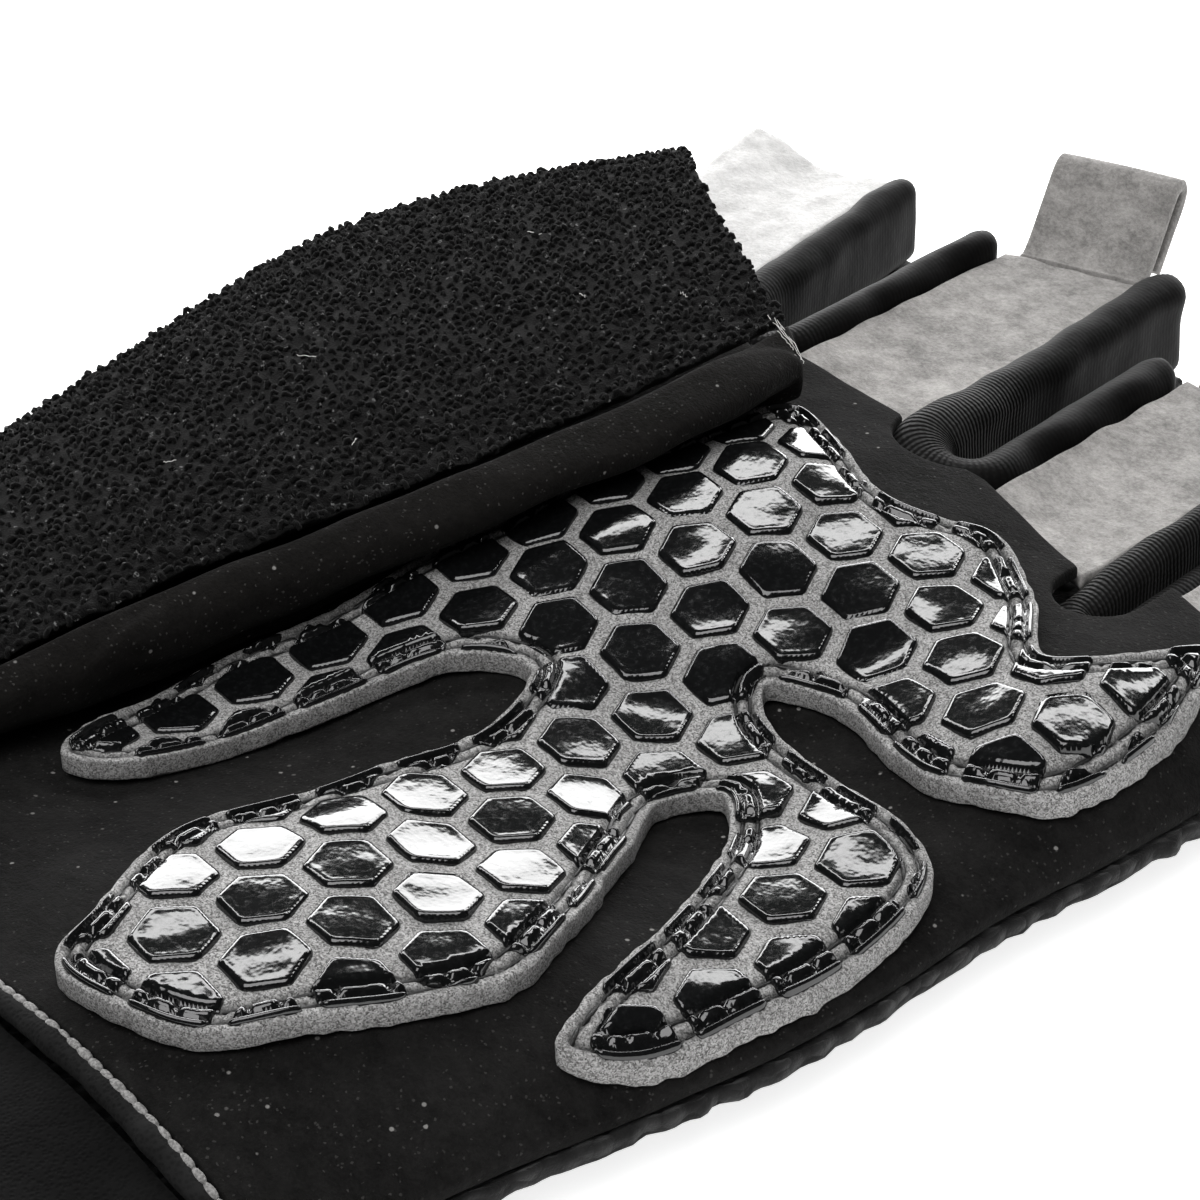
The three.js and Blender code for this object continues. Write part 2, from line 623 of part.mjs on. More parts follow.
// Point of the thumb's surface at a share of its length and an angle round its section.
function thumbPoint(share, angle, wall) {
  const rows = THUMB_ROWS.map((row, i) => ({ ...row, at: i / (THUMB_ROWS.length - 1) }));
  const value = (column) => along(rows, 'at', column, share);
  const right = inPalm([value('rightX'), value('rightY')]);
  const left = inPalm([value('leftX'), value('leftY')]);
  const width = Math.hypot(right[0] - left[0], right[1] - left[1]);
  const [across, up] = roundedSquare(angle, THUMB_SQUARENESS);
  const s = across * (1 - 2 * wall / width);
  const place = (s + 1) / 2;
  const [x, y] = mix(left, right, place);
  const hung = lerp(value('baseLeft'), value('baseRight'), place) * PALM_HEIGHT;
  const base = Math.max(hung, palmTop(x, y) + THUMB_LIFT);
  const crown = THUMB_CROWN * (1 - s * s);
  const top = (lerp(value('topLeft'), value('topRight'), place) + crown) * PALM_HEIGHT;
  const middle = (base + top) / 2;
  const wallThere = up > 0 ? TERRY : THUMB_SUEDE;
  const reach = middle - base - (wall ? wallThere : 0);
  return new THREE.Vector3(x, y, middle + up * Math.max(reach, GAP));
}

function thumbWall(name, fromAngle, toAngle, wall, material) {
  const outer = [];
  const inner = [];
  for (let i = 0; i <= THUMB_LOOP; i += 1) {
    const angle = lerp(fromAngle, toAngle, i / THUMB_LOOP);
    const out = [];
    const within = [];
    for (let j = 0; j <= THUMB_STATIONS; j += 1) {
      out.push(thumbPoint(j / THUMB_STATIONS, angle, 0));
      within.push(thumbPoint(j / THUMB_STATIONS, angle, wall));
    }
    outer.push(out);
    inner.push(within);
  }
  return toMesh(solid(shell(outer, inner)), name, material);
}

// Pull tabs

// Strip of one thickness along a line of [out, up] pairs, extruded across by its width.
function ribbon(line, thickness, width) {
  const left = [];
  const right = [];
  line.forEach(([out, up], i) => {
    const before = line[Math.max(i - 1, 0)];
    const after = line[Math.min(i + 1, line.length - 1)];
    const length = Math.hypot(after[0] - before[0], after[1] - before[1]);
    const normal = [-(after[1] - before[1]) / length, (after[0] - before[0]) / length];
    left.push([out + normal[0] * thickness / 2, up + normal[1] * thickness / 2]);
    right.push([out - normal[0] * thickness / 2, up - normal[1] * thickness / 2]);
  });
  const shape = new THREE.Shape([...left, ...right.toReversed()].map(([a, b]) => new THREE.Vector2(a, b)));
  const geometry = new THREE.ExtrudeGeometry(shape, { depth: width, bevelEnabled: false });
  geometry.translate(0, 0, -width / 2);
  return geometry;
}

function pullTab(finger) {
  const lean = radians(TAB_LEAN);
  const way = [Math.cos(lean), Math.sin(lean)];
  const fold = (TAB_SLIT + SUEDE) / 2;
  const start = [2.5 * GAP + SUEDE / 2, 0];
  const knee = [start[0] + SUEDE, 0.1 * TAB_RISE];
  const top = [knee[0] + way[0] * TAB_RISE, knee[1] + way[1] * TAB_RISE];
  const turn = [top[0] + way[1] * fold, top[1] - way[0] * fold];
  const line = [[start[0] - SUEDE / 2, start[1]], knee, mix(knee, top, 0.5), top];
  for (const angle of [45, 90, 135, 180]) {
    const a = lean + Math.PI / 2 - radians(angle);
    line.push([turn[0] + fold * Math.cos(a), turn[1] + fold * Math.sin(a)]);
  }
  const end = line[line.length - 1];
  line.push([end[0] - way[0] * 0.9 * TAB_RISE, end[1] - way[1] * 0.9 * TAB_RISE]);
  const geometry = ribbon(line, SUEDE, TAB_WIDTH);
  const edge = [finger.tipRight[0] - finger.tipLeft[0], finger.tipRight[1] - finger.tipLeft[1]];
  const mesh = toMesh(solid(geometry), `${finger.name}_pull_tab`, GREY_SUEDE);
  const [x, y] = mix(finger.tipLeft, finger.tipRight, 0.5);
  mesh.rotation.set(Math.PI / 2, 0, 0);
  mesh.rotateY(Math.PI / 2);
  const holder = new THREE.Group();
  holder.add(mesh);
  holder.rotation.z = Math.atan2(edge[1], edge[0]);
  holder.position.set(x, y, fingerTop(finger, 0.5, 1) - SUEDE / 2);
  return holder;
}

// Cuff, its seam and its strap

const CUFF_LOOP = 28;
const CUFF_STATIONS = 4;

// Point round the cuff's section at a share of its length, moved outward by an offset.
function cuffPoint(share, angle, offset) {
  const value = (column) => along(CUFF_ROWS, 'y', column, share);
  const left = value('thumb') * PALM_WIDTH - offset;
  const right = value('little') * PALM_WIDTH + offset;
  const base = STRAP_THICKNESS + STRAP_GAP - offset;
  const top = value('top') * CUFF_HEIGHT + offset;
  const [across, up] = roundedSquare(angle, CUFF_SQUARENESS);
  return new THREE.Vector3(
    lerp(left, right, (across + 1) / 2),
    cuffStart - share * CUFF_LENGTH,
    lerp(base, top, (up + 1) / 2),
  );
}

function cuff() {
  const outer = [];
  const inner = [];
  for (let i = 0; i < CUFF_LOOP; i += 1) {
    const angle = (i + 0.5) * 360 / CUFF_LOOP;
    const out = [];
    const within = [];
    for (let j = 0; j <= CUFF_STATIONS; j += 1) {
      out.push(cuffPoint(j / CUFF_STATIONS, angle, 0));
      within.push(cuffPoint(j / CUFF_STATIONS, angle, -CUFF_WALL));
    }
    outer.push(out);
    inner.push(within);
  }
  return toMesh(solid(shell(outer, inner, true)), 'wrist_cuff', CUFF_CLOTH);
}

const PIPING_STEPS = 18;
const PIPING_SIDES = 8;
const PIPING_INSET = 0.05;   // share of the wrist's width left free at each end

function piping() {
  const left = sideAt('thumb', 0);
  const right = sideAt('little', 0);
  const points = [];
  for (let i = 0; i <= PIPING_STEPS; i += 1) {
    const x = lerp(left, right, lerp(PIPING_INSET, 1 - PIPING_INSET, i / PIPING_STEPS));
    points.push(new THREE.Vector3(x, WRIST_SEAM, palmTop(x, WRIST_SEAM) - PIPING_SINK));
  }
  const round = () => {
    const loop = [];
    for (let k = 0; k < PIPING_SIDES; k += 1) {
      const angle = 2 * Math.PI * k / PIPING_SIDES;
      loop.push([PIPING_RADIUS * Math.cos(angle), PIPING_RADIUS * Math.sin(angle)]);
    }
    return loop;
  };
  const path = new THREE.CatmullRomCurve3(points);
  return toMesh(solid(sweep(path, round, PIPING_STEPS)), 'wrist_piping', PIPING);
}

const STRAP_STEPS = 20;

function strap() {
  const from = STRAP_FROM_SEAM / CUFF_LENGTH;
  const to = from + STRAP_WIDTH / CUFF_LENGTH;
  const outer = [];
  const inner = [];
  for (let i = 0; i <= STRAP_STEPS; i += 1) {
    const angle = lerp(STRAP_FROM, STRAP_TO, i / STRAP_STEPS);
    const layer = (offset) => [from, (from + to) / 2, to].map((share) => cuffPoint(share, angle, offset));
    outer.push(layer(STRAP_GAP + STRAP_THICKNESS));
    inner.push(layer(STRAP_GAP));
  }
  return toMesh(solid(shell(outer, inner)), 'wrist_strap', CUFF_CLOTH);
}

// The whole glove, set on the floor with its middle over the origin

const glove = new THREE.Group();
glove.add(
  backPanel(),
  palmPanel(),
  gripPatch(),
  ...fingers.map(fingerPanel),
  ...strips.map(fourchette),
  pullTab(fingers[1]),
  pullTab(fingers[2]),
  thumbWall('thumb_terry', THUMB_SEAM_RIGHT, THUMB_SEAM_LEFT, TERRY, TOWELLING),
  thumbWall('thumb_suede', THUMB_SEAM_LEFT + THUMB_SEAM_GAP, 360 + THUMB_SEAM_RIGHT - THUMB_SEAM_GAP,
    THUMB_SUEDE, BLACK_SUEDE),
  cuff(),
  piping(),
  strap(),
);
glove.updateMatrixWorld(true);
const box = new THREE.Box3().setFromObject(glove, true);
const middle = box.getCenter(new THREE.Vector3());
glove.position.set(-middle.x, -middle.y, -box.min.z);

const model = new THREE.Group();
model.add(glove);
export default model;
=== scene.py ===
"""Dresses the left-hand fingerless weightlifting glove, which lies palm up on a pale floor.

Sizes are in millimetres in the glove's own frame: X = 0 is the middle of the knuckles, Y = 0 the
wrist and Z = 0 the floor. Every mesh is moved to the row frame, in metres, when it is made.
"""
import logging
import math
from dataclasses import dataclass, field
from enum import Enum
from typing import Callable, Iterable, Optional, Sequence, Union

import bmesh
import bpy
import numpy as np
from mathutils import Matrix, Vector
from mathutils.geometry import delaunay_2d_cdt


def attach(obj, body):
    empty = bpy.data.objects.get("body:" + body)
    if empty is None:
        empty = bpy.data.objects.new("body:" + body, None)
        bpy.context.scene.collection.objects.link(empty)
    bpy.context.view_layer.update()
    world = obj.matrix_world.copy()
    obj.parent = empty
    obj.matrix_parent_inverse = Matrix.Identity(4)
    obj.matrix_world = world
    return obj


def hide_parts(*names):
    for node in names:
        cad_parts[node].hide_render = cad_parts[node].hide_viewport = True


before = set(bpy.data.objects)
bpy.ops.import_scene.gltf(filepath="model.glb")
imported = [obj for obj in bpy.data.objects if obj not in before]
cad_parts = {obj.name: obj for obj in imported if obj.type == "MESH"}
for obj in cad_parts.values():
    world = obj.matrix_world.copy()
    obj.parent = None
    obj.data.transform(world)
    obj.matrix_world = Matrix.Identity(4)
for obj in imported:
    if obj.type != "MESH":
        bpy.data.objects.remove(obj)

log = logging.getLogger("glove")
Array = np.ndarray
Height = Callable[[Array, Array], Array]
ROOT = "root"

# From the glove's own frame to the row frame
OFFSET = (4.988, -58.670, 0.0)

SUEDE = 1.3
KNIT = 1.5
GAP = 0.3
LAYER_GAP = 0.36


class Column(Enum):
    """Columns of the side seam table."""

    THUMB = 1
    LITTLE = 2


# Small tools for shapes


def along(rows: Sequence[Sequence[float]], column: int, place: Union[float, Array]) -> Array:
    """Value of a table's column at places between its rows, on a smooth curve through them.

    Args:
        rows: Table rows, whose first column rises.
        column: Number of the column to read.
        place: Places in the first column.

    Returns:
        The column's values there.
    """
    table = np.asarray(rows, float)
    key, value = table[:, 0], table[:, column]
    at = np.clip(np.asarray(place, float), key[0], key[-1])
    last = len(key) - 1
    i = np.clip(np.searchsorted(key, at, side="left") - 1, 0, last - 1)
    before, after = np.maximum(i - 1, 0), np.minimum(i + 2, last)
    span = key[i + 1] - key[i]
    t = (at - key[i]) / span
    slope_a = (value[i + 1] - value[before]) / (key[i + 1] - key[before]) * span
    slope_b = (value[after] - value[i]) / (key[after] - key[i]) * span
    t2, t3 = t * t, t * t * t
    return ((2 * t3 - 3 * t2 + 1) * value[i] + (t3 - 2 * t2 + t) * slope_a
            + (3 * t2 - 2 * t3) * value[i + 1] + (t3 - t2) * slope_b)


def smooth(low: float, high: float, value: Array) -> Array:
    """Smooth step of value from 0 at low to 1 at high."""
    t = np.clip((value - low) / (high - low), 0.0, 1.0)
    return t * t * (3 - 2 * t)


def bell(off: Array, reach: float) -> Array:
    """Bell curve of height 1, which falls to about a third at reach."""
    return np.exp(-((off / reach) ** 2))


def arc(centre: Array, radius: float, angle: Array) -> Array:
    """Plan points of a circle at angles."""
    return np.column_stack([centre[0] + radius * np.cos(angle), centre[1] + radius * np.sin(angle)])


def covered(line: Array) -> Array:
    """How far along a line each of its points is."""
    return np.concatenate([[0], np.cumsum(np.linalg.norm(np.diff(line, axis=0), axis=1))])


def ways(line: Array) -> Array:
    """Unit directions of a line at its points."""
    way = np.gradient(line, axis=0)
    return way / np.linalg.norm(way, axis=1)[:, None]


def rounded_square(angle: Array, power: float) -> tuple[Array, Array]:
    """Points of a rounded square of half width 1, at angles in degrees."""
    c, s = np.cos(np.radians(angle)), np.sin(np.radians(angle))
    return np.sign(c) * np.abs(c) ** (2 / power), np.sign(s) * np.abs(s) ** (2 / power)


def between(t: float, start: float, end: float, first: Array, last: Array) -> Array:
    """Point on the way from first at start to last at end."""
    return (end - t) / (end - start) * first + (t - start) / (end - start) * last


def catmull(points: Sequence[Sequence[float]], per_span: int = 16, closed: bool = True) -> Array:
    """Dense centripetal curve through points.

    Args:
        points: Plan or space points in order.
        per_span: Samples on each span.
        closed: Whether the curve joins up.

    Returns:
        The samples in order, without a repeated end on a closed curve.
    """
    p = np.asarray(points, float)
    count = len(p)
    spans = count if closed else count - 1
    out: list[Array] = []
    for i in range(spans):
        if closed:
            a, b, c, d = (p[(i + k) % count] for k in (-1, 0, 1, 2))
        else:
            a, b, c, d = p[max(i - 1, 0)], p[i], p[i + 1], p[min(i + 2, count - 1)]
        knots = [0.0]
        for one, two in ((a, b), (b, c), (c, d)):
            knots.append(knots[-1] + max(float(np.linalg.norm(two - one)), 1e-6) ** 0.5)
        t0, t1, t2, t3 = knots
        for t in np.linspace(t1, t2, per_span, endpoint=False):
            low = between(t, t0, t1, a, b)
            mid = between(t, t1, t2, b, c)
            high = between(t, t2, t3, c, d)
            out.append(between(t, t1, t2, between(t, t0, t2, low, mid), between(t, t1, t3, mid, high)))
    if not closed:
        out.append(p[-1])
    return np.array(out)


def resample(line: Array, step: float, closed: bool = True) -> Array:
    """A line's points again, evenly spaced.

    Args:
        line: Points in order.
        step: Wanted spacing.
        closed: Whether the line joins up.

    Returns:
        Points spaced by about step.
    """
    loop = np.vstack([line, line[:1]]) if closed else line
    run = covered(loop)
    count = max(int(round(run[-1] / step)), 3)
    at = np.linspace(0, run[-1], count + (0 if closed else 1), endpoint=not closed)
    return np.stack([np.interp(at, run, loop[:, k]) for k in range(loop.shape[1])], 1)


def outward(loop: Array) -> Array:
    """Unit plan normals of a closed loop, pointing out of it."""
    way = np.roll(loop, -1, axis=0) - np.roll(loop, 1, axis=0)
    normal = np.stack([way[:, 1], -way[:, 0]], 1)
    normal /= np.linalg.norm(normal, axis=1)[:, None] + 1e-12
    return normal if area(loop) > 0 else -normal


def area(loop: Array) -> float:
    """Signed plan area of a closed loop."""
    nxt = np.roll(loop, -1, axis=0)
    return float(0.5 * np.sum(loop[:, 0] * nxt[:, 1] - nxt[:, 0] * loop[:, 1]))


def inside(loop: Array, points: Array) -> Array:
    """Which plan points lie inside a closed loop."""
    x, y = points[:, 0][:, None], points[:, 1][:, None]
    a, b = loop, np.roll(loop, -1, axis=0)
    crosses = (a[:, 1] > y) != (b[:, 1] > y)
    with np.errstate(divide="ignore", invalid="ignore"):
        at = (b[:, 0] - a[:, 0]) * (y - a[:, 1]) / (b[:, 1] - a[:, 1]) + a[:, 0]
    return np.sum(crosses & (x < at), axis=1) % 2 == 1


def measure(line: Array, points: Array) -> tuple[Array, Array]:
    """Plan distance of each point from a closed line of short segments, and its place along it.

    Args:
        line: The line's points in order.
        points: Points to measure.

    Returns:
        One distance for each point, and the number of segments passed up to the closest place.
    """
    way = np.roll(line, -1, axis=0) - line
    square = np.sum(way * way, axis=1) + 1e-12
    best, place = np.empty(len(points)), np.empty(len(points))
    for start in range(0, len(points), 2000):
        q = points[start:start + 2000][:, None, :]
        t = np.clip(np.sum((q - line) * way, axis=2) / square, 0, 1)
        off = q - (line + t[..., None] * way)
        far = np.sum(off * off, axis=2)
        closest = np.argmin(far, axis=1)
        rows = np.arange(len(closest))
        best[start:start + 2000] = np.sqrt(far[rows, closest])
        place[start:start + 2000] = closest + t[rows, closest]
    return best, place


# Which sides of a grid square a contour enters and leaves by, for each pattern of inside corners
TURNS = {
    1: ((0, 3),), 2: ((1, 0),), 3: ((1, 3),), 4: ((2, 1),), 5: ((0, 3), (2, 1)), 6: ((2, 0),),
    7: ((2, 3),), 8: ((3, 2),), 9: ((0, 2),), 10: ((1, 0), (3, 2)), 11: ((1, 2),), 12: ((3, 1),),
    13: ((0, 1),), 14: ((3, 0),),
}


@dataclass
class Chart:
    """Values on an even plan grid."""

    low: Array
    step: float
    values: Array

    @staticmethod
    def around(low: Array, high: Array, step: float) -> tuple[Array, Array]:
        """Plan coordinates of a grid's points, as two arrays."""
        xs = np.arange(low[0], high[0] + step, step)
        ys = np.arange(low[1], high[1] + step, step)
        return np.meshgrid(xs, ys, indexing="ij")

    def at(self, x: Array, y: Array) -> Array:
        """Values between the grid's points."""
        rows, columns = self.values.shape
        u = np.clip((np.asarray(x) - self.low[0]) / self.step, 0, rows - 1.001)
        v = np.clip((np.asarray(y) - self.low[1]) / self.step, 0, columns - 1.001)
        i, j = u.astype(int), v.astype(int)
        a, b = u - i, v - j
        w = self.values
        return ((w[i, j] * (1 - a) + w[i + 1, j] * a) * (1 - b)
                + (w[i, j + 1] * (1 - a) + w[i + 1, j + 1] * a) * b)

    def loops(self, level: float) -> list[Array]:
        """Closed lines where the values pass a level, counter-clockwise round what is above it."""
        w = self.values
        above = w > level
        code = (above[:-1, :-1] * 1 + above[1:, :-1] * 2 + above[1:, 1:] * 4 + above[:-1, 1:] * 8)
        following: dict[tuple[int, int, int], tuple[int, int, int]] = {}
        for i, j in np.argwhere((code > 0) & (code < 15)):
            sides = ((i, j, 0), (i + 1, j, 1), (i, j + 1, 0), (i, j, 1))
            for a, b in TURNS[int(code[i, j])]:
                following[sides[a]] = sides[b]
        out = []
        while following:
            start, key = following.popitem()
            run = [start]
            while key != start and key in following:
                run.append(key)
                key = following.pop(key)
            i, j, way = np.array(run).T
            k, m = i + (way == 0), j + (way == 1)
            t = (level - w[i, j]) / (w[k, m] - w[i, j])
            place = np.column_stack([i + t * (way == 0), j + t * (way == 1)])
            if len(place) > 3:
                out.append(place * self.step + self.low)
        return out


@dataclass(frozen=True)
class Ripple:
    """Smooth seeded unevenness: a sum of plane waves of about one wavelength."""

    seed: int
    wavelength: float
    amplitude: float
    waves: int = 14

    def at(self, x: Array, y: Array, z: Union[float, Array] = 0.0) -> Array:
        """Height of the unevenness at places."""
        rng = np.random.default_rng(self.seed)
        total = np.zeros(np.broadcast(x, y, z).shape)
        for _ in range(self.waves):
            way = rng.normal(size=3)
            way *= 2 * math.pi / (np.linalg.norm(way) * self.wavelength * rng.uniform(0.7, 1.5))
            total = total + np.sin(way[0] * x + way[1] * y + way[2] * z + rng.uniform(0, 2 * math.pi))
        return self.amplitude * total / math.sqrt(self.waves / 2)


# Shader writing


class Value:
    """A shader socket that can be reckoned with."""

    def __init__(self, tree: bpy.types.NodeTree, socket: bpy.types.NodeSocket) -> None:
        """Wraps one output socket of a node tree."""
        self.tree = tree
        self.socket = socket

    def put(self, socket: bpy.types.NodeSocket, thing: "Operand") -> None:
        """Links a value to an input, or sets a constant on it."""
        if isinstance(thing, Value):
            self.tree.links.new(thing.socket, socket)
        else:
            socket.default_value = thing

    def math(self, operation: str, *others: "Operand", swap: bool = False) -> "Value":
        """One Math node on this value and others, in swapped order where asked."""
        node = self.tree.nodes.new("ShaderNodeMath")
        node.operation = operation
        operands = [*others, self] if swap else [self, *others]
        for socket, thing in zip(node.inputs, operands):
            self.put(socket, thing)
        return Value(self.tree, node.outputs[0])

    def __add__(self, other: "Operand") -> "Value":
        """Sum."""
        return self.math("ADD", other)

    __radd__ = __add__

    def __mul__(self, other: "Operand") -> "Value":
        """Product."""
        return self.math("MULTIPLY", other)

    __rmul__ = __mul__

    def __rsub__(self, other: "Operand") -> "Value":
        """Difference from something else."""
        return self.math("SUBTRACT", other, swap=True)

    def steps(self, low: float, high: float) -> "Value":
        """Smooth step from 0 at low to 1 at high."""
        node = self.tree.nodes.new("ShaderNodeMapRange")
        node.interpolation_type = "SMOOTHSTEP"
        node.inputs["From Min"].default_value = low
        node.inputs["From Max"].default_value = high
        self.put(node.inputs["Value"], self)
        return Value(self.tree, node.outputs["Result"])

    def mix(self, low: "Colour", high: "Colour") -> "Value":
        """Colour between low at 0 and high at 1."""
        node = self.tree.nodes.new("ShaderNodeMix")
        node.data_type = "RGBA"
        self.put(node.inputs[0], self)
        self.put(node.inputs[6], low)
        self.put(node.inputs[7], high)
        return Value(self.tree, node.outputs[2])


Operand = Union[Value, float]
Colour = Union[Value, tuple[float, float, float, float]]


class Shader:
    """A material that is being written."""

    def __init__(self, name: str) -> None:
        """Starts a material of a name with one Principled shader."""
        self.material = bpy.data.materials.new(name)
        self.material.use_nodes = True
        self.tree = self.material.node_tree
        self.bsdf = self.tree.nodes["Principled BSDF"]

    def node(self, kind: str, output: Union[int, str], settings: Optional[dict[str, object]] = None,
             **inputs: Operand) -> Value:
        """Any other node.

        Args:
            kind: Blender's name for the node's type.
            output: The output socket that is wanted.
            settings: Properties to set on the node.
            **inputs: Input sockets by name, with underscores for spaces.

        Returns:
            The wanted output.
        """
        node = self.tree.nodes.new(kind)
        for name, value in (settings or {}).items():
            setattr(node, name, value)
        result = Value(self.tree, node.outputs[output])
        for name, thing in inputs.items():
            result.put(node.inputs[name.replace("_", " ")], thing)
        return result

    def place(self, stretch: Sequence[float] = (1.0, 1.0, 1.0), turn: float = 0.0) -> Value:
        """Place on the object in millimetres, stretched and turned about Z."""
        coordinates = self.node("ShaderNodeTexCoord", "Object")
        mapping = self.node("ShaderNodeMapping", 0, Vector=coordinates)
        inputs = mapping.socket.node.inputs
        inputs["Scale"].default_value = [1000.0 * s for s in stretch]
        inputs["Rotation"].default_value = (0.0, 0.0, turn)
        return mapping

    def uv(self) -> tuple[Value, Value]:
        """The piece's own UV map in millimetres, as two values."""
        coordinates = self.node("ShaderNodeTexCoord", "UV")
        split = self.tree.nodes.new("ShaderNodeSeparateXYZ")
        self.tree.links.new(coordinates.socket, split.inputs[0])
        return Value(self.tree, split.outputs[0]), Value(self.tree, split.outputs[1])

    def attribute(self, name: str) -> Value:
        """A value that the mesh carries at its points."""
        return self.node("ShaderNodeAttribute", "Fac", {"attribute_name": name})

    def noise(self, at: Value, size: float, detail: float = 2.0, roughness: float = 0.5) -> Value:
        """Noise of features about size millimetres across."""
        return self.node("ShaderNodeTexNoise", "Fac", Vector=at, Scale=1.0 / size, Detail=detail,
                         Roughness=roughness)

    def grains(self, at: Value, size: float, output: str = "Distance") -> Value:
        """Grains about size millimetres across: distance from the middle, or a colour of its own."""
        return self.node("ShaderNodeTexVoronoi", output, Vector=at, Scale=1.0 / size)

    def chance(self, at: Value, size: float) -> Value:
        """A different number from 0 to 1 for each grain of about size millimetres."""
        split = self.tree.nodes.new("ShaderNodeSeparateColor")
        self.tree.links.new(self.grains(at, size, "Color").socket, split.inputs[0])
        return Value(self.tree, split.outputs[0])

    def colour(self, colour: Colour) -> None:
        """Sets the base colour."""
        self.vary("Base Color", colour)

    def vary(self, name: str, thing: Union[Operand, Colour]) -> None:
        """Sets or links one input of the shader."""
        Value(self.tree, self.bsdf.outputs[0]).put(self.bsdf.inputs[name], thing)

    def bump(self, height: Value, depth: float) -> None:
        """Raises the surface by height times depth in millimetres."""
        node = self.tree.nodes.new("ShaderNodeBump")
        node.inputs["Strength"].default_value = 1.0
        node.inputs["Distance"].default_value = depth / 1000.0
        self.tree.links.new(height.socket, node.inputs["Height"])
        self.tree.links.new(node.outputs[0], self.bsdf.inputs["Normal"])

    def constants(self, **values: float) -> None:
        """Sets numbers that are the same all over, by the shader's input names."""
        for name, value in values.items():
            self.bsdf.inputs[name.replace("_", " ")].default_value = value


def grey(level: float, warmth: float = 0.0) -> tuple[float, float, float, float]:
    """A grey colour, warmer or cooler by a small share."""
    return (level * (1 + warmth), level, level * (1 - warmth), 1.0)


@dataclass(frozen=True)
class Suede:
    """Microfibre suede with a brushed nap, soft patches and a little lint."""

    name: str
    dark: float
    light: float
    warmth: float
    sheen: float
    lint: float
    dust: float
    gloss: float
    nap: float = 0.35
    fleck_size: float = 0.55
    dust_size: float = 0.16

    def material(self) -> bpy.types.Material:
        """Writes the material."""
        shader = Shader(self.name)
        place = shader.place()
        patches = shader.noise(place, 9.0, 3.0, 0.6).steps(0.3, 0.72)
        strokes = shader.noise(shader.place((0.8, 1.15, 1.0), 0.7), 1.9, 4.0, 0.7).steps(0.3, 0.72)
        fibres = shader.noise(place, self.nap, 3.0, 0.75).steps(0.25, 0.75)
        tone = patches * 0.3 + strokes * 0.35 + fibres * 0.35
        colour = tone.mix(grey(self.dark, self.warmth), grey(self.light, self.warmth))
        speck = 1.0 - shader.grains(place, self.fleck_size).steps(0.2, 0.4)
        fleck = shader.chance(place, self.fleck_size).steps(0.985, 0.99) * speck
        dust = shader.chance(place, self.dust_size).steps(0.975, 0.99) * self.dust
        shader.colour((fleck * self.lint + dust).mix(colour, grey(0.22, 0.03)))
        shader.constants(Roughness=0.95, Specular_IOR_Level=self.gloss, Sheen_Weight=self.sheen,
                         Sheen_Roughness=0.45)
        shader.bump(fibres * 0.4 + strokes * 0.5, 0.12)
        return shader.material


@dataclass(frozen=True)
class Felt:
    """Grey speckled felt, darker where it is sewn down."""

    name: str = "grip_felt"
    dark: float = 0.05
    light: float = 0.5

    def material(self) -> bpy.types.Material:
        """Writes the material."""
        shader = Shader(self.name)
        place = shader.place()
        speck = shader.chance(place, 0.11) * 0.45 + shader.noise(place, 0.3, 3.0, 0.8) * 0.55
        cloudy = shader.noise(place, 5.0).steps(0.25, 0.75)
        tone = speck.steps(0.15, 0.85) * (cloudy * 0.25 + 0.75)
        sewn = shader.attribute("sewn")
        felt = tone.mix(grey(self.dark, 0.03), grey(self.light, 0.01))
        shader.colour(sewn.mix(felt, grey(0.01)))
        shader.constants(Roughness=0.95, Specular_IOR_Level=0.3)
        shader.bump(speck, 0.08)
        return shader.material


@dataclass(frozen=True)
class Gel:
    """Glossy black gel with faint waves and a fine film of dust."""

    name: str = "grip_gel_gloss"

    def material(self) -> bpy.types.Material:
        """Writes the material."""
        shader = Shader(self.name)
        place = shader.place()
        waves = shader.noise(place, 2.6, 3.0, 0.55)
        film = shader.noise(place, 0.5, 3.0, 0.7).steps(0.45, 0.8)
        shader.colour(film.mix(grey(0.0035, -0.05), grey(0.009, -0.05)))
        shader.vary("Roughness", film * 0.1 + 0.1)
        shader.constants(Specular_IOR_Level=0.6)
        shader.bump(waves, 0.08)
        return shader.material


@dataclass(frozen=True)
class RibbedKnit:
    """Stretch knit with fine ribs across the strip, strongest where it bends."""

    name: str = "ribbed_stretch_knit"
    pitch: float = 0.5
    stitch: float = 0.6
    dark: float = 0.0015
    light: float = 0.013

    def material(self) -> bpy.types.Material:
        """Writes the material."""
        shader = Shader(self.name)
        run, girth = shader.uv()
        place = shader.place()
        wander = shader.noise(place, 2.2, 3.0, 0.6) * 5.0
        rib = (run * (2 * math.pi / self.pitch) + wander).math("SINE") * 0.5 + 0.5
        stitch = (girth * (2 * math.pi / self.stitch) + wander).math("SINE") * 0.5 + 0.5
        strength = shader.attribute("bent") * 0.85 + 0.04
        cloth = shader.noise(place, 2.5, 3.0, 0.6).steps(0.3, 0.75)
        tone = rib * strength * (stitch * 0.4 + 0.6) + cloth * 0.18 * (1.0 - strength)
        shader.colour(tone.mix(grey(self.dark, 0.02), grey(self.light, 0.04)))
        shader.constants(Roughness=0.65, Specular_IOR_Level=0.08, Sheen_Weight=0.02, Sheen_Roughness=0.35)
        shader.bump(tone, 0.22)
        return shader.material


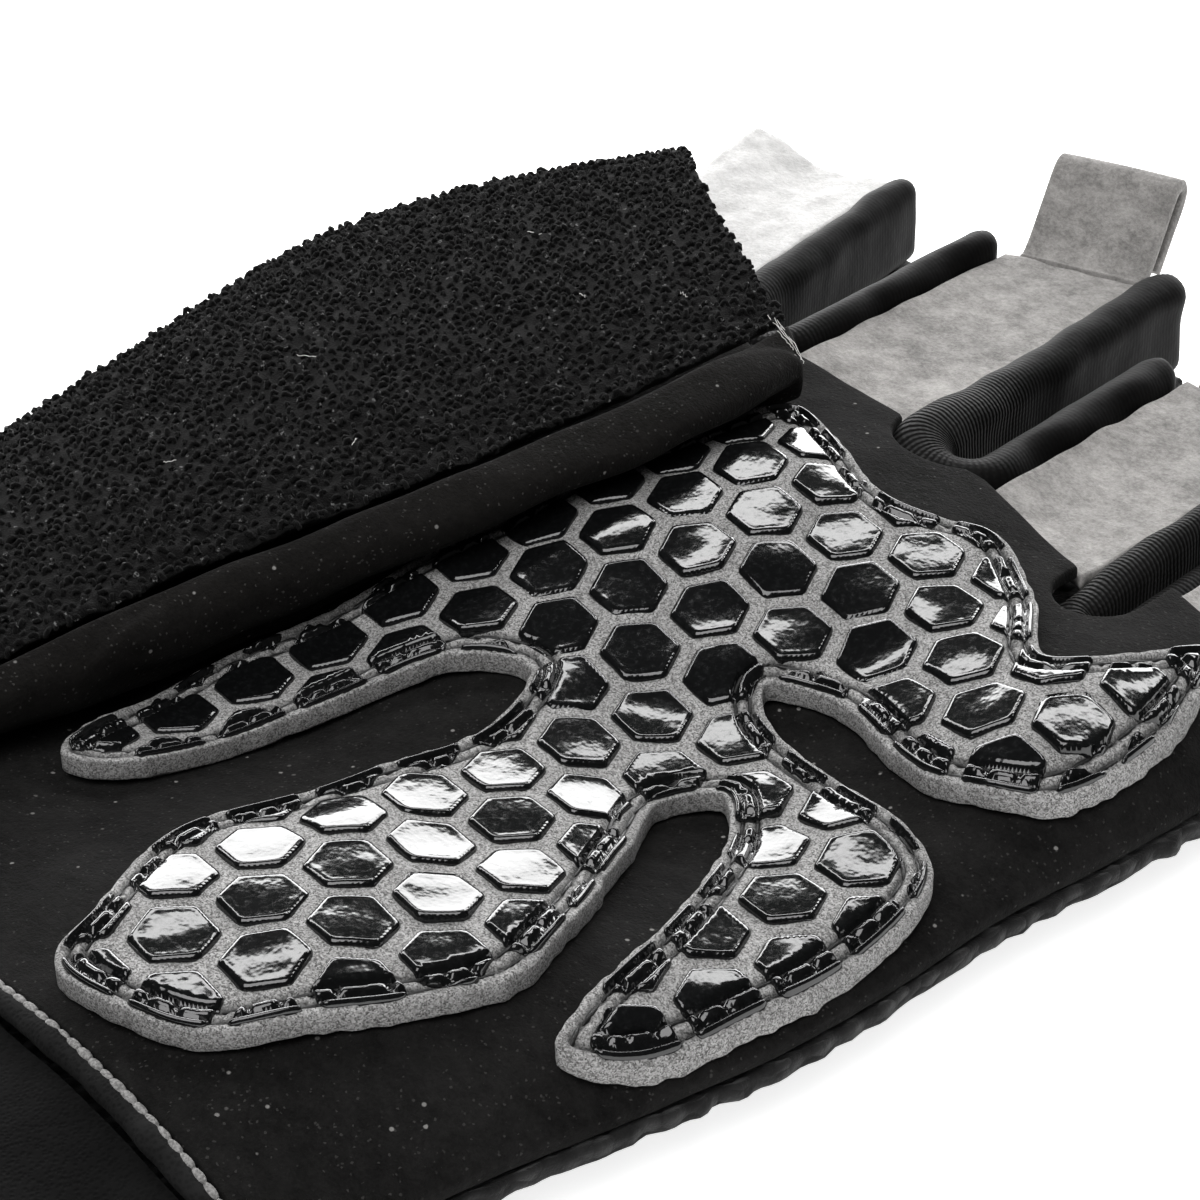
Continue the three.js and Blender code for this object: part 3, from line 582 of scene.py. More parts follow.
@dataclass(frozen=True)
class Towelling:
    """Black towelling yarn, with lint caught here and there."""

    name: str = "black_towelling"

    def material(self) -> bpy.types.Material:
        """Writes the material."""
        shader = Shader(self.name)
        place = shader.place()
        tone = shader.noise(place, 1.1, 3.0, 0.7).steps(0.35, 0.8)
        fibre = shader.noise(place, 0.18, 2.0, 0.8)
        lint = shader.chance(place, 0.34).steps(0.975, 0.985) * fibre.steps(0.45, 0.6)
        base = (tone * 0.6 + fibre * 0.4).mix(grey(0.0015), grey(0.01, 0.01))
        shader.colour(lint.mix(base, grey(0.16)))
        shader.constants(Roughness=1.0, Specular_IOR_Level=0.05, Sheen_Weight=0.05, Sheen_Roughness=0.5)
        shader.bump(fibre, 0.22)
        return shader.material


@dataclass(frozen=True)
class RoughKnit:
    """Black rough knit of the back, with open bumps in rows."""

    name: str = "black_rough_knit"

    def material(self) -> bpy.types.Material:
        """Writes the material."""
        shader = Shader(self.name)
        place = shader.place((1.0, 0.75, 1.0))
        bumps = 1.0 - shader.grains(place, 1.3).steps(0.1, 0.75)
        fibre = shader.noise(shader.place(), 0.3, 3.0, 0.7)
        shader.colour((bumps * 0.6 + fibre * 0.4).mix(grey(0.003), grey(0.022)))
        shader.constants(Roughness=0.95, Specular_IOR_Level=0.2, Sheen_Weight=0.12, Sheen_Roughness=0.5)
        shader.bump(bumps + fibre * 0.3, 0.35)
        return shader.material


@dataclass(frozen=True)
class SmoothCloth:
    """Plain dense cloth with a fine even weave."""

    name: str
    dark: float = 0.002
    light: float = 0.006

    def material(self) -> bpy.types.Material:
        """Writes the material."""
        shader = Shader(self.name)
        place = shader.place()
        weave = shader.grains(place, 0.35).steps(0.1, 0.7)
        soft = shader.noise(place, 7.0, 3.0, 0.6).steps(0.3, 0.7)
        shader.colour((soft * 0.7 + weave * 0.3).mix(grey(self.dark), grey(self.light)))
        shader.constants(Roughness=0.9, Specular_IOR_Level=0.05, Sheen_Weight=0.01, Sheen_Roughness=0.5)
        shader.bump(weave, 0.04)
        return shader.material


@dataclass(frozen=True)
class Thread:
    """Twisted sewing thread."""

    name: str
    dark: float
    light: float
    roughness: float = 0.6

    def material(self) -> bpy.types.Material:
        """Writes the material."""
        shader = Shader(self.name)
        place = shader.place((1.0, 1.0, 1.0), 0.6)
        strand = shader.noise(place, 0.22, 2.0, 0.6)
        shader.colour(strand.steps(0.3, 0.7).mix(grey(self.dark, 0.02), grey(self.light, 0.02)))
        shader.constants(Roughness=self.roughness, Specular_IOR_Level=0.4)
        shader.bump(strand, 0.06)
        return shader.material


@dataclass(frozen=True)
class LightTable:
    """Even white floor that glows a little, so that shadows on it stay pale."""

    name: str
    level: float
    glow: float

    def material(self) -> bpy.types.Material:
        """Writes the material."""
        shader = Shader(self.name)
        faint = shader.noise(shader.place(), 60.0)
        shader.colour(faint.mix(grey(self.level), grey(self.level * 0.99)))
        shader.vary("Emission Color", grey(1.0))
        shader.constants(Roughness=0.9, Specular_IOR_Level=0.1, Emission_Strength=self.glow)
        return shader.material


class Finishes:
    """Every material of the glove, each made once."""

    def __init__(self) -> None:
        """Writes the materials."""
        self.black_suede = Suede(
            "black_microfibre_suede", dark=0.003, light=0.014, warmth=0.03, sheen=0.02, lint=0.8,
            dust=0.1, gloss=0.05).material()
        self.thumb_suede = Suede(
            "thumb_microfibre_suede", dark=0.003, light=0.01, warmth=0.07, sheen=0.03, lint=0.8,
            dust=0.13, gloss=0.05).material()
        # The grey suede again, painted lighter: painted light for the index finger's panel, which catches
        # more of the light
        self.pale_suede = Suede(
            "pale_microfibre_suede", dark=0.36, light=0.66, warmth=0.01, sheen=0.1, lint=0.0,
            dust=0.0, gloss=0.15, nap=0.5).material()
        self.grey_suede = Suede(
            "grey_microfibre_suede", dark=0.1, light=0.4, warmth=0.035, sheen=0.08, lint=0.0,
            dust=0.0, gloss=0.12, nap=0.4).material()
        self.felt = Felt().material()
        self.gel = Gel().material()
        self.ribs = RibbedKnit().material()
        self.terry = Towelling().material()
        self.knit = RoughKnit().material()
        self.cuff = SmoothCloth("plain_black_cloth").material()
        self.seam = SmoothCloth("seam_binding", 0.006, 0.018).material()
        self.black_thread = Thread("black_thread", 0.003, 0.014, 0.45).material()
        self.grey_thread = Thread("grey_thread", 0.1, 0.27, 0.75).material()
        self.pale_thread = Thread("pale_thread", 0.5, 0.8, 0.8).material()
        self.floor = LightTable("pale_floor", 0.9, 0.8).material()


# Mesh making


@dataclass
class Solid:
    """Points in the glove's frame, faces, and what the points carry."""

    points: Array
    faces: list[Sequence[int]]
    values: dict[str, Array] = field(default_factory=dict)
    uv: Optional[Array] = None

    def join(self, other: "Solid") -> "Solid":
        """This solid and another as one."""
        shift = len(self.points)
        faces = [*self.faces, *[[i + shift for i in face] for face in other.faces]]
        return Solid(np.vstack([self.points, other.points]), faces)

    def build(self, name: str, material: bpy.types.Material) -> bpy.types.Object:
        """Makes the Blender object.

        Args:
            name: Name of the object and its mesh.
            material: Its finish.

        Returns:
            The object, at the origin with its place in its mesh.
        """
        mesh = bpy.data.meshes.new(name)
        place = (self.points + np.array(OFFSET)) / 1000.0
        mesh.from_pydata(place.tolist(), [], [list(face) for face in self.faces])
        for key, values in self.values.items():
            layer = mesh.attributes.new(key, "FLOAT", "POINT")
            layer.data.foreach_set("value", np.asarray(values, np.float32))
        if self.uv is not None:
            layer = mesh.uv_layers.new(name="run")
            corner = np.empty(len(mesh.loops), np.int32)
            mesh.loops.foreach_get("vertex_index", corner)
            layer.data.foreach_set("uv", self.uv[corner].astype(np.float32).ravel())
        mesh.polygons.foreach_set("use_smooth", np.ones(len(mesh.polygons), bool))
        mesh.materials.append(material)
        mesh.validate()
        mesh.update()
        return shown(name, mesh)


def shown(name: str, data: bpy.types.ID) -> bpy.types.Object:
    """A new object in the scene that holds some data."""
    thing = bpy.data.objects.new(name, data)
    bpy.context.scene.collection.objects.link(thing)
    return thing


def settle(thing: bpy.types.Object, slot: str, *nodes: str) -> bpy.types.Object:
    """Puts a finished piece on the glove.

    Args:
        thing: The finished object.
        slot: Material slot of the record; not used.
        *nodes: CAD nodes that it stands for.

    Returns:
        The same object.
    """
    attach(thing, ROOT)
    if nodes:
        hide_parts(*nodes)
    log.info("%s: %d faces", thing.name, len(thing.data.polygons))
    return thing


def hex_points(loop: Array, step: float, margin: float) -> Array:
    """Even points inside a closed loop.

    Args:
        loop: The loop.
        step: Spacing of the points.
        margin: Least distance from the loop.

    Returns:
        Plan points in rows.
    """
    low, high = loop.min(0), loop.max(0)
    rows = []
    for k, y in enumerate(np.arange(low[1], high[1], step * 0.866)):
        x = np.arange(low[0] + (k % 2) * step / 2, high[0], step)
        rows.append(np.stack([x, np.full(len(x), y)], 1))
    grid = np.vstack(rows)
    grid = grid[inside(loop, grid)]
    return grid[measure(loop, grid)[0] > margin]


def fill(loop: Array, extra: Array) -> tuple[Array, list[Sequence[int]]]:
    """Triangles inside a closed loop, through the extra points too.

    Args:
        loop: Boundary points, counter-clockwise. They stay first in the result.
        extra: Points inside.

    Returns:
        All points and the triangles.
    """
    count = len(loop)
    points = [Vector(p) for p in np.vstack([loop, extra])]
    edges = [(i, (i + 1) % count) for i in range(count)]
    out = delaunay_2d_cdt(points, edges, [], 1, 1e-6)
    where = {}
    for new, olds in enumerate(out[3]):
        for old in olds:
            where[old] = new
    order = [where[i] for i in range(len(points)) if i in where]
    if len(set(order)) != len(out[0]) or len(order) != len(points):
        return np.array([tuple(p) for p in out[0]]), [tuple(f) for f in out[2]]
    back = {new: old for old, new in enumerate(order)}
    return np.vstack([loop, extra]), [tuple(back[i] for i in face) for face in out[2]]


def skirted(upper: Array, tris: list[Sequence[int]], border: int, skirt: float) -> Solid:
    """Closes a patch of surface with a skirt and a floor under it.

    Args:
        upper: Points, whose first ones are the border in order, counter-clockwise.
        tris: Its triangles.
        border: How many border points there are.
        skirt: How far the skirt reaches down.

    Returns:
        The closed body.
    """
    foot = upper[:border] - [0, 0, skirt]
    count = len(upper)
    core = count + border
    faces: list[Sequence[int]] = list(tris)
    for i in range(border):
        j = (i + 1) % border
        faces.append((i, i + count, j + count, j))
        faces.append((core, count + j, count + i))
    return Solid(np.vstack([upper, foot, foot.mean(0)]), faces)


@dataclass
class Sheet:
    """Cloth cut to a plan outline and laid over a height, with a rounded cut edge."""

    outline: Array
    top: Height
    thickness: float
    grid: float
    rounding: float = 0.35
    edge: float = 0.8
    fine: Optional[Callable[[Array], Array]] = None

    def inner_points(self, loop: Array) -> Array:
        """Points inside the sheet, twice as dense where it is fine."""
        even = hex_points(loop, self.grid, 0.6 * self.grid)
        if self.fine is None:
            return even
        dense = hex_points(loop, self.grid / 2, 0.3 * self.grid)
        return np.vstack([even[~self.fine(even)], dense[self.fine(dense)]])

    def solid(self) -> Solid:
        """Builds the sheet's closed body, its upper face first."""
        loop = resample(self.outline, self.edge)
        if area(loop) < 0:
            loop = loop[::-1]
        normal = outward(loop)
        inner = loop - normal * self.rounding
        plan, tris = fill(inner, self.inner_points(inner))
        count, n = len(plan), len(loop)
        top = self.top(*plan.T)
        upper = np.column_stack([plan, top])
        lower = np.column_stack([plan, top - self.thickness])
        points = [upper, lower]
        faces: list[Sequence[int]] = [tuple(f) for f in tris]
        faces += [tuple(i + count for i in reversed(f)) for f in tris]
        r = self.rounding
        drop = min(r, self.thickness / 2)
        rings = [(0.5 * r, 0.13 * drop), (0.13 * r, 0.5 * drop), (0.0, drop)]
        rings += [(0.0, self.thickness - drop), (0.13 * r, self.thickness - 0.5 * drop),
                  (0.5 * r, self.thickness - 0.13 * drop)]
        start = 2 * count
        starts = [0]
        for inset, down in rings:
            ring = loop - normal * inset
            z = self.top(*ring.T) - down
            points.append(np.column_stack([ring, z]))
            starts.append(start)
            start += n
        starts.append(count)
        for a, b in zip(starts, starts[1:]):
            for i in range(n):
                j = (i + 1) % n
                faces.append((a + i, b + i, b + j, a + j))
        return Solid(np.vstack(points), faces)


def strip_faces(rows: int, columns: int, around: bool) -> list[Sequence[int]]:
    """Quads of a grid of points, joined round along its columns where asked."""
    faces: list[Sequence[int]] = []
    last = columns if around else columns - 1
    for i in range(rows - 1):
        for j in range(last):
            k = (j + 1) % columns
            faces.append((i * columns + j, i * columns + k, (i + 1) * columns + k, (i + 1) * columns + j))
    return faces


def tube(rings: Array) -> tuple[Array, list[Sequence[int]]]:
    """Points and faces of a closed tube through rings of points, with a fan over each end."""
    rows, sides, _ = rings.shape
    count, last = rows * sides, (rows - 1) * sides
    faces = strip_faces(rows, sides, True)
    for j in range(sides):
        k = (j + 1) % sides
        faces += [(count, k, j), (count + 1, last + j, last + k)]
    return np.vstack([rings.reshape(-1, 3), rings[0].mean(0), rings[-1].mean(0)]), faces


def wall(outer: Array, inner: Array) -> Solid:
    """Closed wall between two open grids of points, with rounded rims.

    Args:
        outer: Grid of points, rows by columns by 3.
        inner: The same grid moved inwards.

    Returns:
        The closed body.
    """
    def rim(grid_a: Array, grid_b: Array, blend: float, pull: float) -> Array:
        core = grid_a * (1 - blend) + grid_b * blend
        near = core.copy()
        near[0] += (core[0] - core[1]) * pull
        near[-1] += (core[-1] - core[-2]) * pull
        near[:, 0] += (core[:, 0] - core[:, 1]) * pull
        near[:, -1] += (core[:, -1] - core[:, -2]) * pull
        return near

    layers = [outer, rim(outer, inner, 0.15, 0.35), rim(outer, inner, 0.5, 0.5),
              rim(outer, inner, 0.85, 0.35), inner]
    rows, columns, _ = outer.shape
    border = [(i, 0) for i in range(rows)] + [(rows - 1, j) for j in range(1, columns)]
    border += [(i, columns - 1) for i in range(rows - 2, -1, -1)]
    border += [(0, j) for j in range(columns - 2, 0, -1)]
    index = [i * columns + j for i, j in border]
    points = [outer.reshape(-1, 3), inner.reshape(-1, 3)]
    count = rows * columns
    faces = strip_faces(rows, columns, False)
    faces += [tuple(count + i for i in reversed(face)) for face in faces]
    start = 2 * count
    loops = [index]
    for layer in layers[1:-1]:
        points.append(layer.reshape(-1, 3)[index])
        loops.append(list(range(start, start + len(index))))
        start += len(index)
    loops.append([count + i for i in index])
    for a, b in zip(loops, loops[1:]):
        for i in range(len(index)):
            j = (i + 1) % len(index)
            faces.append((a[i], a[j], b[j], b[i]))
    return Solid(np.vstack(points), faces)


def right_side_out(thing: bpy.types.Object) -> bpy.types.Object:
    """Turns all of a closed object's faces outwards."""
    mesh = bmesh.new()
    mesh.from_mesh(thing.data)
    bmesh.ops.recalc_face_normals(mesh, faces=mesh.faces)
    mesh.to_mesh(thing.data)
    mesh.free()
    return thing


def place_closed(solid: Solid, name: str, material: bpy.types.Material, slot: str, *nodes: str) -> None:
    """Builds a closed solid, turns it right side out and puts it on the glove."""
    settle(right_side_out(solid.build(name, material)), slot, *nodes)


def faces_up(thing: bpy.types.Object) -> None:
    """Flips an open surface whose faces look down or inwards on the whole."""
    mesh = thing.data
    normals = np.empty(len(mesh.polygons) * 3, np.float32)
    mesh.polygons.foreach_get("normal", normals)
    if normals.reshape(-1, 3)[:, 2].mean() < 0:
        mesh.flip_normals()


# Geometry Nodes


class Growth:
    """A Geometry Nodes tree that is being written."""

    def __init__(self, name: str, inputs: dict[str, Union[int, float]]) -> None:
        """Starts a tree with geometry in and out and named inputs.

        Args:
            name: The tree's name.
            inputs: Value of each named input, whole for a whole-number socket.
        """
        self.tree = bpy.data.node_groups.new(name, "GeometryNodeTree")
        face = self.tree.interface
        face.new_socket("Geometry", in_out="INPUT", socket_type="NodeSocketGeometry")
        face.new_socket("Geometry", in_out="OUTPUT", socket_type="NodeSocketGeometry")
        self.values = inputs
        kinds = {int: "NodeSocketInt", float: "NodeSocketFloat"}
        self.sockets = {key: face.new_socket(key, in_out="INPUT", socket_type=kinds[type(value)])
                        for key, value in inputs.items()}
        self.start = self.tree.nodes.new("NodeGroupInput")
        self.end = self.tree.nodes.new("NodeGroupOutput")

    def __getitem__(self, name: str) -> bpy.types.NodeSocket:
        """One of the tree's inputs."""
        return self.start.outputs[name]

    def node(self, kind: str, settings: Optional[dict[str, object]] = None,
             **inputs: object) -> bpy.types.Node:
        """A node with its properties and inputs set or linked.

        Args:
            kind: Blender's name for the node's type.
            settings: Properties to set on the node.
            **inputs: Input sockets by name with underscores for spaces, as values or sockets.

        Returns:
            The node.
        """
        node = self.tree.nodes.new(kind)
        for name, value in (settings or {}).items():
            setattr(node, name, value)
        for name, thing in inputs.items():
            self.put(next(s for s in node.inputs if s.name == name.replace("_", " ") and s.enabled), thing)
        return node

    def put(self, socket: bpy.types.NodeSocket, thing: object) -> None:
        """Links a socket to an input, or sets a constant on it."""
        if isinstance(thing, bpy.types.NodeSocket):
            self.tree.links.new(thing, socket)
        else:
            socket.default_value = thing

    def math(self, operation: str, one: object, other: object) -> bpy.types.NodeSocket:
        """Result of one Math node on two sockets or numbers."""
        node = self.node("ShaderNodeMath", {"operation": operation})
        self.put(node.inputs[0], one)
        self.put(node.inputs[1], other)
        return node.outputs[0]

    def finish(self, geometry: bpy.types.NodeSocket, material: bpy.types.Material) -> None:
        """Ends the tree in Realize Instances and Set Material."""
        real = self.node("GeometryNodeRealizeInstances", Geometry=geometry)
        painted = self.node("GeometryNodeSetMaterial", Geometry=real.outputs[0], Material=material)
        self.tree.links.new(painted.outputs[0], self.end.inputs[0])

    def grow(self, thing: bpy.types.Object) -> bpy.types.Object:
        """Runs the tree on an object and leaves plain mesh."""
        modifier = thing.modifiers.new("growth", "NODES")
        modifier.node_group = self.tree
        for name, socket in self.sockets.items():
            modifier[socket.identifier] = self.values[name]
        return plain_mesh(thing)


def plain_mesh(thing: bpy.types.Object) -> bpy.types.Object:
    """Evaluates a curve or mesh object and puts a plain mesh object in its place."""
    graph = bpy.context.evaluated_depsgraph_get()
    mesh = bpy.data.meshes.new_from_object(thing.evaluated_get(graph), depsgraph=graph)
    name = thing.name
    data = thing.data
    bpy.data.objects.remove(thing)
    if isinstance(data, bpy.types.Curve):
        bpy.data.curves.remove(data)
    else:
        bpy.data.meshes.remove(data)
    mesh.name = name
    mesh.polygons.foreach_set("use_smooth", np.ones(len(mesh.polygons), bool))
    return shown(name, mesh)


def lines(name: str, runs: Iterable[Array], closed: bool) -> bpy.types.Object:
    """A curve object through runs of points in the glove's frame."""
    curve = bpy.data.curves.new(name, "CURVE")
    curve.dimensions = "3D"
    for run in runs:
        spline = curve.splines.new("POLY")
        spline.points.add(len(run) - 1)
        place = (run + np.array(OFFSET)) / 1000.0
        spline.points.foreach_set("co", np.column_stack([place, np.ones(len(run))]).ravel())
        spline.use_cyclic_u = closed
    return shown(name, curve)


@dataclass(frozen=True)
class Stitching:
    """A row of stitches along a line."""

    name: str
    pitch: float
    length: float
    thickness: float
    height: float
    seed: int = 3
    uneven: float = 0.12

    def sew(self, runs: Iterable[Array], closed: bool, material: bpy.types.Material) -> bpy.types.Object:
        """Sews stitches along runs of points.

        Args:
            runs: Lines in the glove's frame.
            closed: Whether each line joins up.
            material: The thread.

        Returns:
            The stitches as one mesh object.
        """
        mm = 0.001
        growth = Growth(self.name, {
            "Pitch": self.pitch * mm,
            "Length": self.length * mm,
            "Thickness": self.thickness * mm,
            "Height": self.height * mm,
            "Unevenness": self.uneven,
            "Seed": self.seed,
        })
        spaced = growth.node("GeometryNodeCurveToPoints", {"mode": "LENGTH"},
                             Curve=growth["Geometry"], Length=growth["Pitch"])
        bead = growth.node("GeometryNodeMeshUVSphere", Segments=8, Rings=6, Radius=0.5)
        size = growth.node("ShaderNodeCombineXYZ", X=growth["Thickness"],
                           Y=growth["Height"], Z=growth["Length"])
        shaped = growth.node("GeometryNodeTransform", Geometry=bead.outputs[0], Scale=size.outputs[0])
        low = growth.math("SUBTRACT", 1.0, growth["Unevenness"])
        high = growth.math("ADD", 1.0, growth["Unevenness"])
        vary = growth.node("FunctionNodeRandomValue", {"data_type": "FLOAT"}, Min=low, Max=high,
                           Seed=growth["Seed"])
        placed = growth.node("GeometryNodeInstanceOnPoints", Points=spaced.outputs[0],
                             Instance=shaped.outputs[0], Rotation=spaced.outputs["Rotation"],
                             Scale=vary.outputs[1])
        growth.finish(placed.outputs[0], material)
        return growth.grow(lines(self.name, runs, closed))


@dataclass(frozen=True)
class LooseThreads:
    """Fine threads that lie along lines."""

    name: str
    radius: float

    def lay(self, runs: Iterable[Array], material: bpy.types.Material) -> bpy.types.Object:
        """Makes one round thread along each run of points in the glove's frame."""
        growth = Growth(self.name, {"Radius": self.radius * 0.001})
        section = growth.node("GeometryNodeCurvePrimitiveCircle", Resolution=5,
                              Radius=growth["Radius"])
        tube = growth.node("GeometryNodeCurveToMesh", Curve=growth["Geometry"],
                           Profile_Curve=section.outputs[0], Fill_Caps=True)
        growth.finish(tube.outputs[0], material)
        return growth.grow(lines(self.name, runs, False))


@dataclass(frozen=True)
class Pile:
    """Towelling loops scattered evenly over a surface."""

    name: str
    spacing: float
    span: float
    height: float
    yarn: float
    seed: int = 11
    # How far a loop tips over, in radians
    tip: float = 0.5

    def cover(self, thing: bpy.types.Object, material: bpy.types.Material) -> bpy.types.Object:
        """Grows loops on an object.

        Args:
            thing: The surface, which the loops take the place of.
            material: The yarn.

        Returns:
            The loops as one mesh object.
        """
        mm = 0.001
        growth = Growth(self.name, {
            "Spacing": self.spacing * mm,
            "Span": self.span * mm,
            "Height": self.height * mm,
            "Yarn": self.yarn * mm,
            "Seed": self.seed,
        })
        spots = growth.node("GeometryNodeDistributePointsOnFaces", {"distribute_method": "POISSON"},
                            Mesh=growth["Geometry"], Distance_Min=growth["Spacing"],
                            Density_Max=4.0e6, Seed=growth["Seed"])
        left = growth.node("ShaderNodeCombineXYZ", X=growth.math("MULTIPLY", growth["Span"], -0.5))
        right = growth.node("ShaderNodeCombineXYZ", X=growth.math("MULTIPLY", growth["Span"], 0.5))
        peak = growth.node("ShaderNodeCombineXYZ", Z=growth.math("MULTIPLY", growth["Height"], 2.0))
        arc = growth.node("GeometryNodeCurveQuadraticBezier", Resolution=3, Start=left.outputs[0],
                          Middle=peak.outputs[0], End=right.outputs[0])
        section = growth.node("GeometryNodeCurvePrimitiveCircle", Resolution=5,
                              Radius=growth["Yarn"])
        loop = growth.node("GeometryNodeCurveToMesh", Curve=arc.outputs[0],
                           Profile_Curve=section.outputs[0])
        turn = growth.node("FunctionNodeRandomValue", {"data_type": "FLOAT_VECTOR"},
                           Min=(-self.tip, -self.tip, 0.0), Max=(self.tip, self.tip, 6.283),
                           Seed=growth["Seed"])
        turned = growth.node("FunctionNodeRotateRotation", {"rotation_space": "LOCAL"},
                             Rotation=spots.outputs["Rotation"], Rotate_By=turn.outputs[0])
        vary = growth.node("FunctionNodeRandomValue", {"data_type": "FLOAT"}, Min=0.75, Max=1.25,
                           Seed=growth["Seed"])
        placed = growth.node("GeometryNodeInstanceOnPoints", Points=spots.outputs[0],
                             Instance=loop.outputs[0], Rotation=turned.outputs[0], Scale=vary.outputs[1])
        growth.finish(placed.outputs[0], material)
        return growth.grow(thing)


# The glove's form


@dataclass(frozen=True)
class Form:
    """Heights and seams that all panels of the glove share, as its solids have them."""

    width: float = 100.0
    length: float = 100.0
    height: float = 12.0
    rim_from: float = 0.86
    # y in lengths, then the thumb's and the little finger's side seam in widths
    sides: tuple = (
        (-0.05, -0.415, 0.365), (0.00, -0.42, 0.37), (0.20, -0.47, 0.41), (0.40, -0.50, 0.46),
        (0.62, -0.51, 0.475), (0.75, -0.51, 0.493), (0.97, -0.51, 0.51), (1.10, -0.515, 0.505),
        (1.30, -0.545, 0.49), (1.50, -0.58, 0.475),
    )
    # Height of each side seam, and how sharply the palm curls down to it
    seams: tuple = ((6.0, 6.0), (8.04, 8.0))
    # Swells of the palm: x, y and reach in widths and lengths, rise in heights
    waves: tuple = (
        (0.25, 0.57, 0.20, -0.33), (0.18, 0.15, 0.20, 0.18), (0.00, 0.84, 0.19, 0.20),
        (0.46, 0.80, 0.15, 0.30), (-0.14, 0.38, 0.17, -0.34),
    )

    def side(self, column: Column, y: Array) -> Array:
        """X of a side seam at a Y."""
        return along(self.sides, column.value, np.asarray(y) / self.length) * self.width

    def across(self, x: Array, y: Array) -> Array:
        """Place from -1 at the thumb's side seam to 1 at the little finger's."""
        left, right = self.side(Column.THUMB, y), self.side(Column.LITTLE, y)
        return np.clip((2 * x - left - right) / (right - left), -1, 1)

    def wrist_seam(self, x: Array) -> Array:
        """Y of the wrist's seam, which bends towards the cuff beside the little finger."""
        return 1.4 - 2.1 * smooth(0.05, 0.38, np.asarray(x) / self.width)

    def palm(self, x: Array, y: Array) -> Array:
        """Height of the palm's upper face."""
        s = self.across(x, y)
        seam = np.where(s < 0, self.seams[0][0], self.seams[1][0])
        power = np.where(s < 0, self.seams[0][1], self.seams[1][1])
        dome = 1 - np.abs(s) ** power
        z = seam + (self.height - seam) * dome
        for wx, wy, reach, rise in self.waves:
            dx = (x - wx * self.width) / (reach * self.width)
            dy = (y - wy * self.length) / (reach * self.length)
            z = z + dome * rise * self.height * np.exp(-dx * dx - dy * dy)
        return z

    def back(self, x: Array, y: Array) -> Array:
        """Height of the back's lower face."""
        s = self.across(x, y)
        seam = np.where(s < 0, self.seams[0][0], self.seams[1][0])
        return (seam - SUEDE - LAYER_GAP - KNIT) * smooth(self.rim_from, 1, np.abs(s))


@dataclass(frozen=True)
class Finger:
    """Plan corners of one finger's suede panel."""

    name: str
    free: float
    root_left: tuple[float, float]
    root_right: tuple[float, float]
    tip_left: tuple[float, float]
    tip_right: tuple[float, float]

    def plan(self, u: Array, v: Array) -> tuple[Array, Array]:
        """Plan place at u from left to right and v from root to tip."""
        corners = [np.array(c) for c in (self.root_left, self.root_right, self.tip_left, self.tip_right)]
        x, y = ((corners[0][k] * (1 - u) + corners[1][k] * u) * (1 - v)
                + (corners[2][k] * (1 - u) + corners[3][k] * u) * v for k in (0, 1))
        return x, y


FINGERS = (
    Finger("index", -1, (-50.5, 108), (-31.5, 112), (-57.2, 149), (-38, 148.5)),
    Finger("middle", 0, (-18, 110.5), (-1, 107.3), (-18.4, 143.5), (-3, 147)),
    Finger("ring", 0, (11.7, 103.2), (26.1, 97.9), (11, 134), (25.5, 131)),
    Finger("little", 1, (33.8, 100.5), (48.5, 95.5), (33.5, 121), (47.5, 118)),
)


@dataclass(frozen=True)
class Strip:
    """A side strip up one finger, round the crotch and up the next."""

    name: str
    left: Finger
    right: Finger
    width: float
    crotch: float
    top_left: float
    top_right: float
    # How far from the bend the ribs show, and how much fuller the bend is
    ribbed: float
    bulge: float

    @staticmethod
    def beside(root: tuple[float, float], tip: tuple[float, float], offset: float, y: float) -> Array:
        """Point beside a finger's edge at a Y."""
        slope = (tip[0] - root[0]) / (tip[1] - root[1])
        return np.array([root[0] + slope * (y - root[1]) + offset, y])

    def ends(self) -> tuple[Array, Array, Array, Array]:
        """Roots and tips of the strip's two legs."""
        offset = GAP + self.width / 2
        a, b = self.left, self.right
        return (self.beside(a.root_right, a.tip_right, offset, self.crotch),
                self.beside(b.root_left, b.tip_left, -offset, self.crotch),
                self.beside(a.root_right, a.tip_right, offset, a.tip_right[1]),
                self.beside(b.root_left, b.tip_left, -offset, b.tip_left[1]))

    def turn(self) -> tuple[Array, float]:
        """Centre and radius of the strip's bend."""
        root_a, root_b, _, _ = self.ends()
        return (root_a + root_b) / 2, (root_b[0] - root_a[0]) / 2


STRIPS = (
    Strip("index_middle_fourchette", FINGERS[0], FINGERS[1], 4.0, 114.5, 11.2, 11.8, 7.0, 0.4),
    Strip("middle_ring_fourchette", FINGERS[1], FINGERS[2], 4.6, 108, 12.6, 11.6, 8.0, 1.4),
    Strip("ring_little_fourchette", FINGERS[2], FINGERS[3], 3.2, 95.5, 11.8, 9.6, 16.0, 0.3),
)


# Sub-assemblies


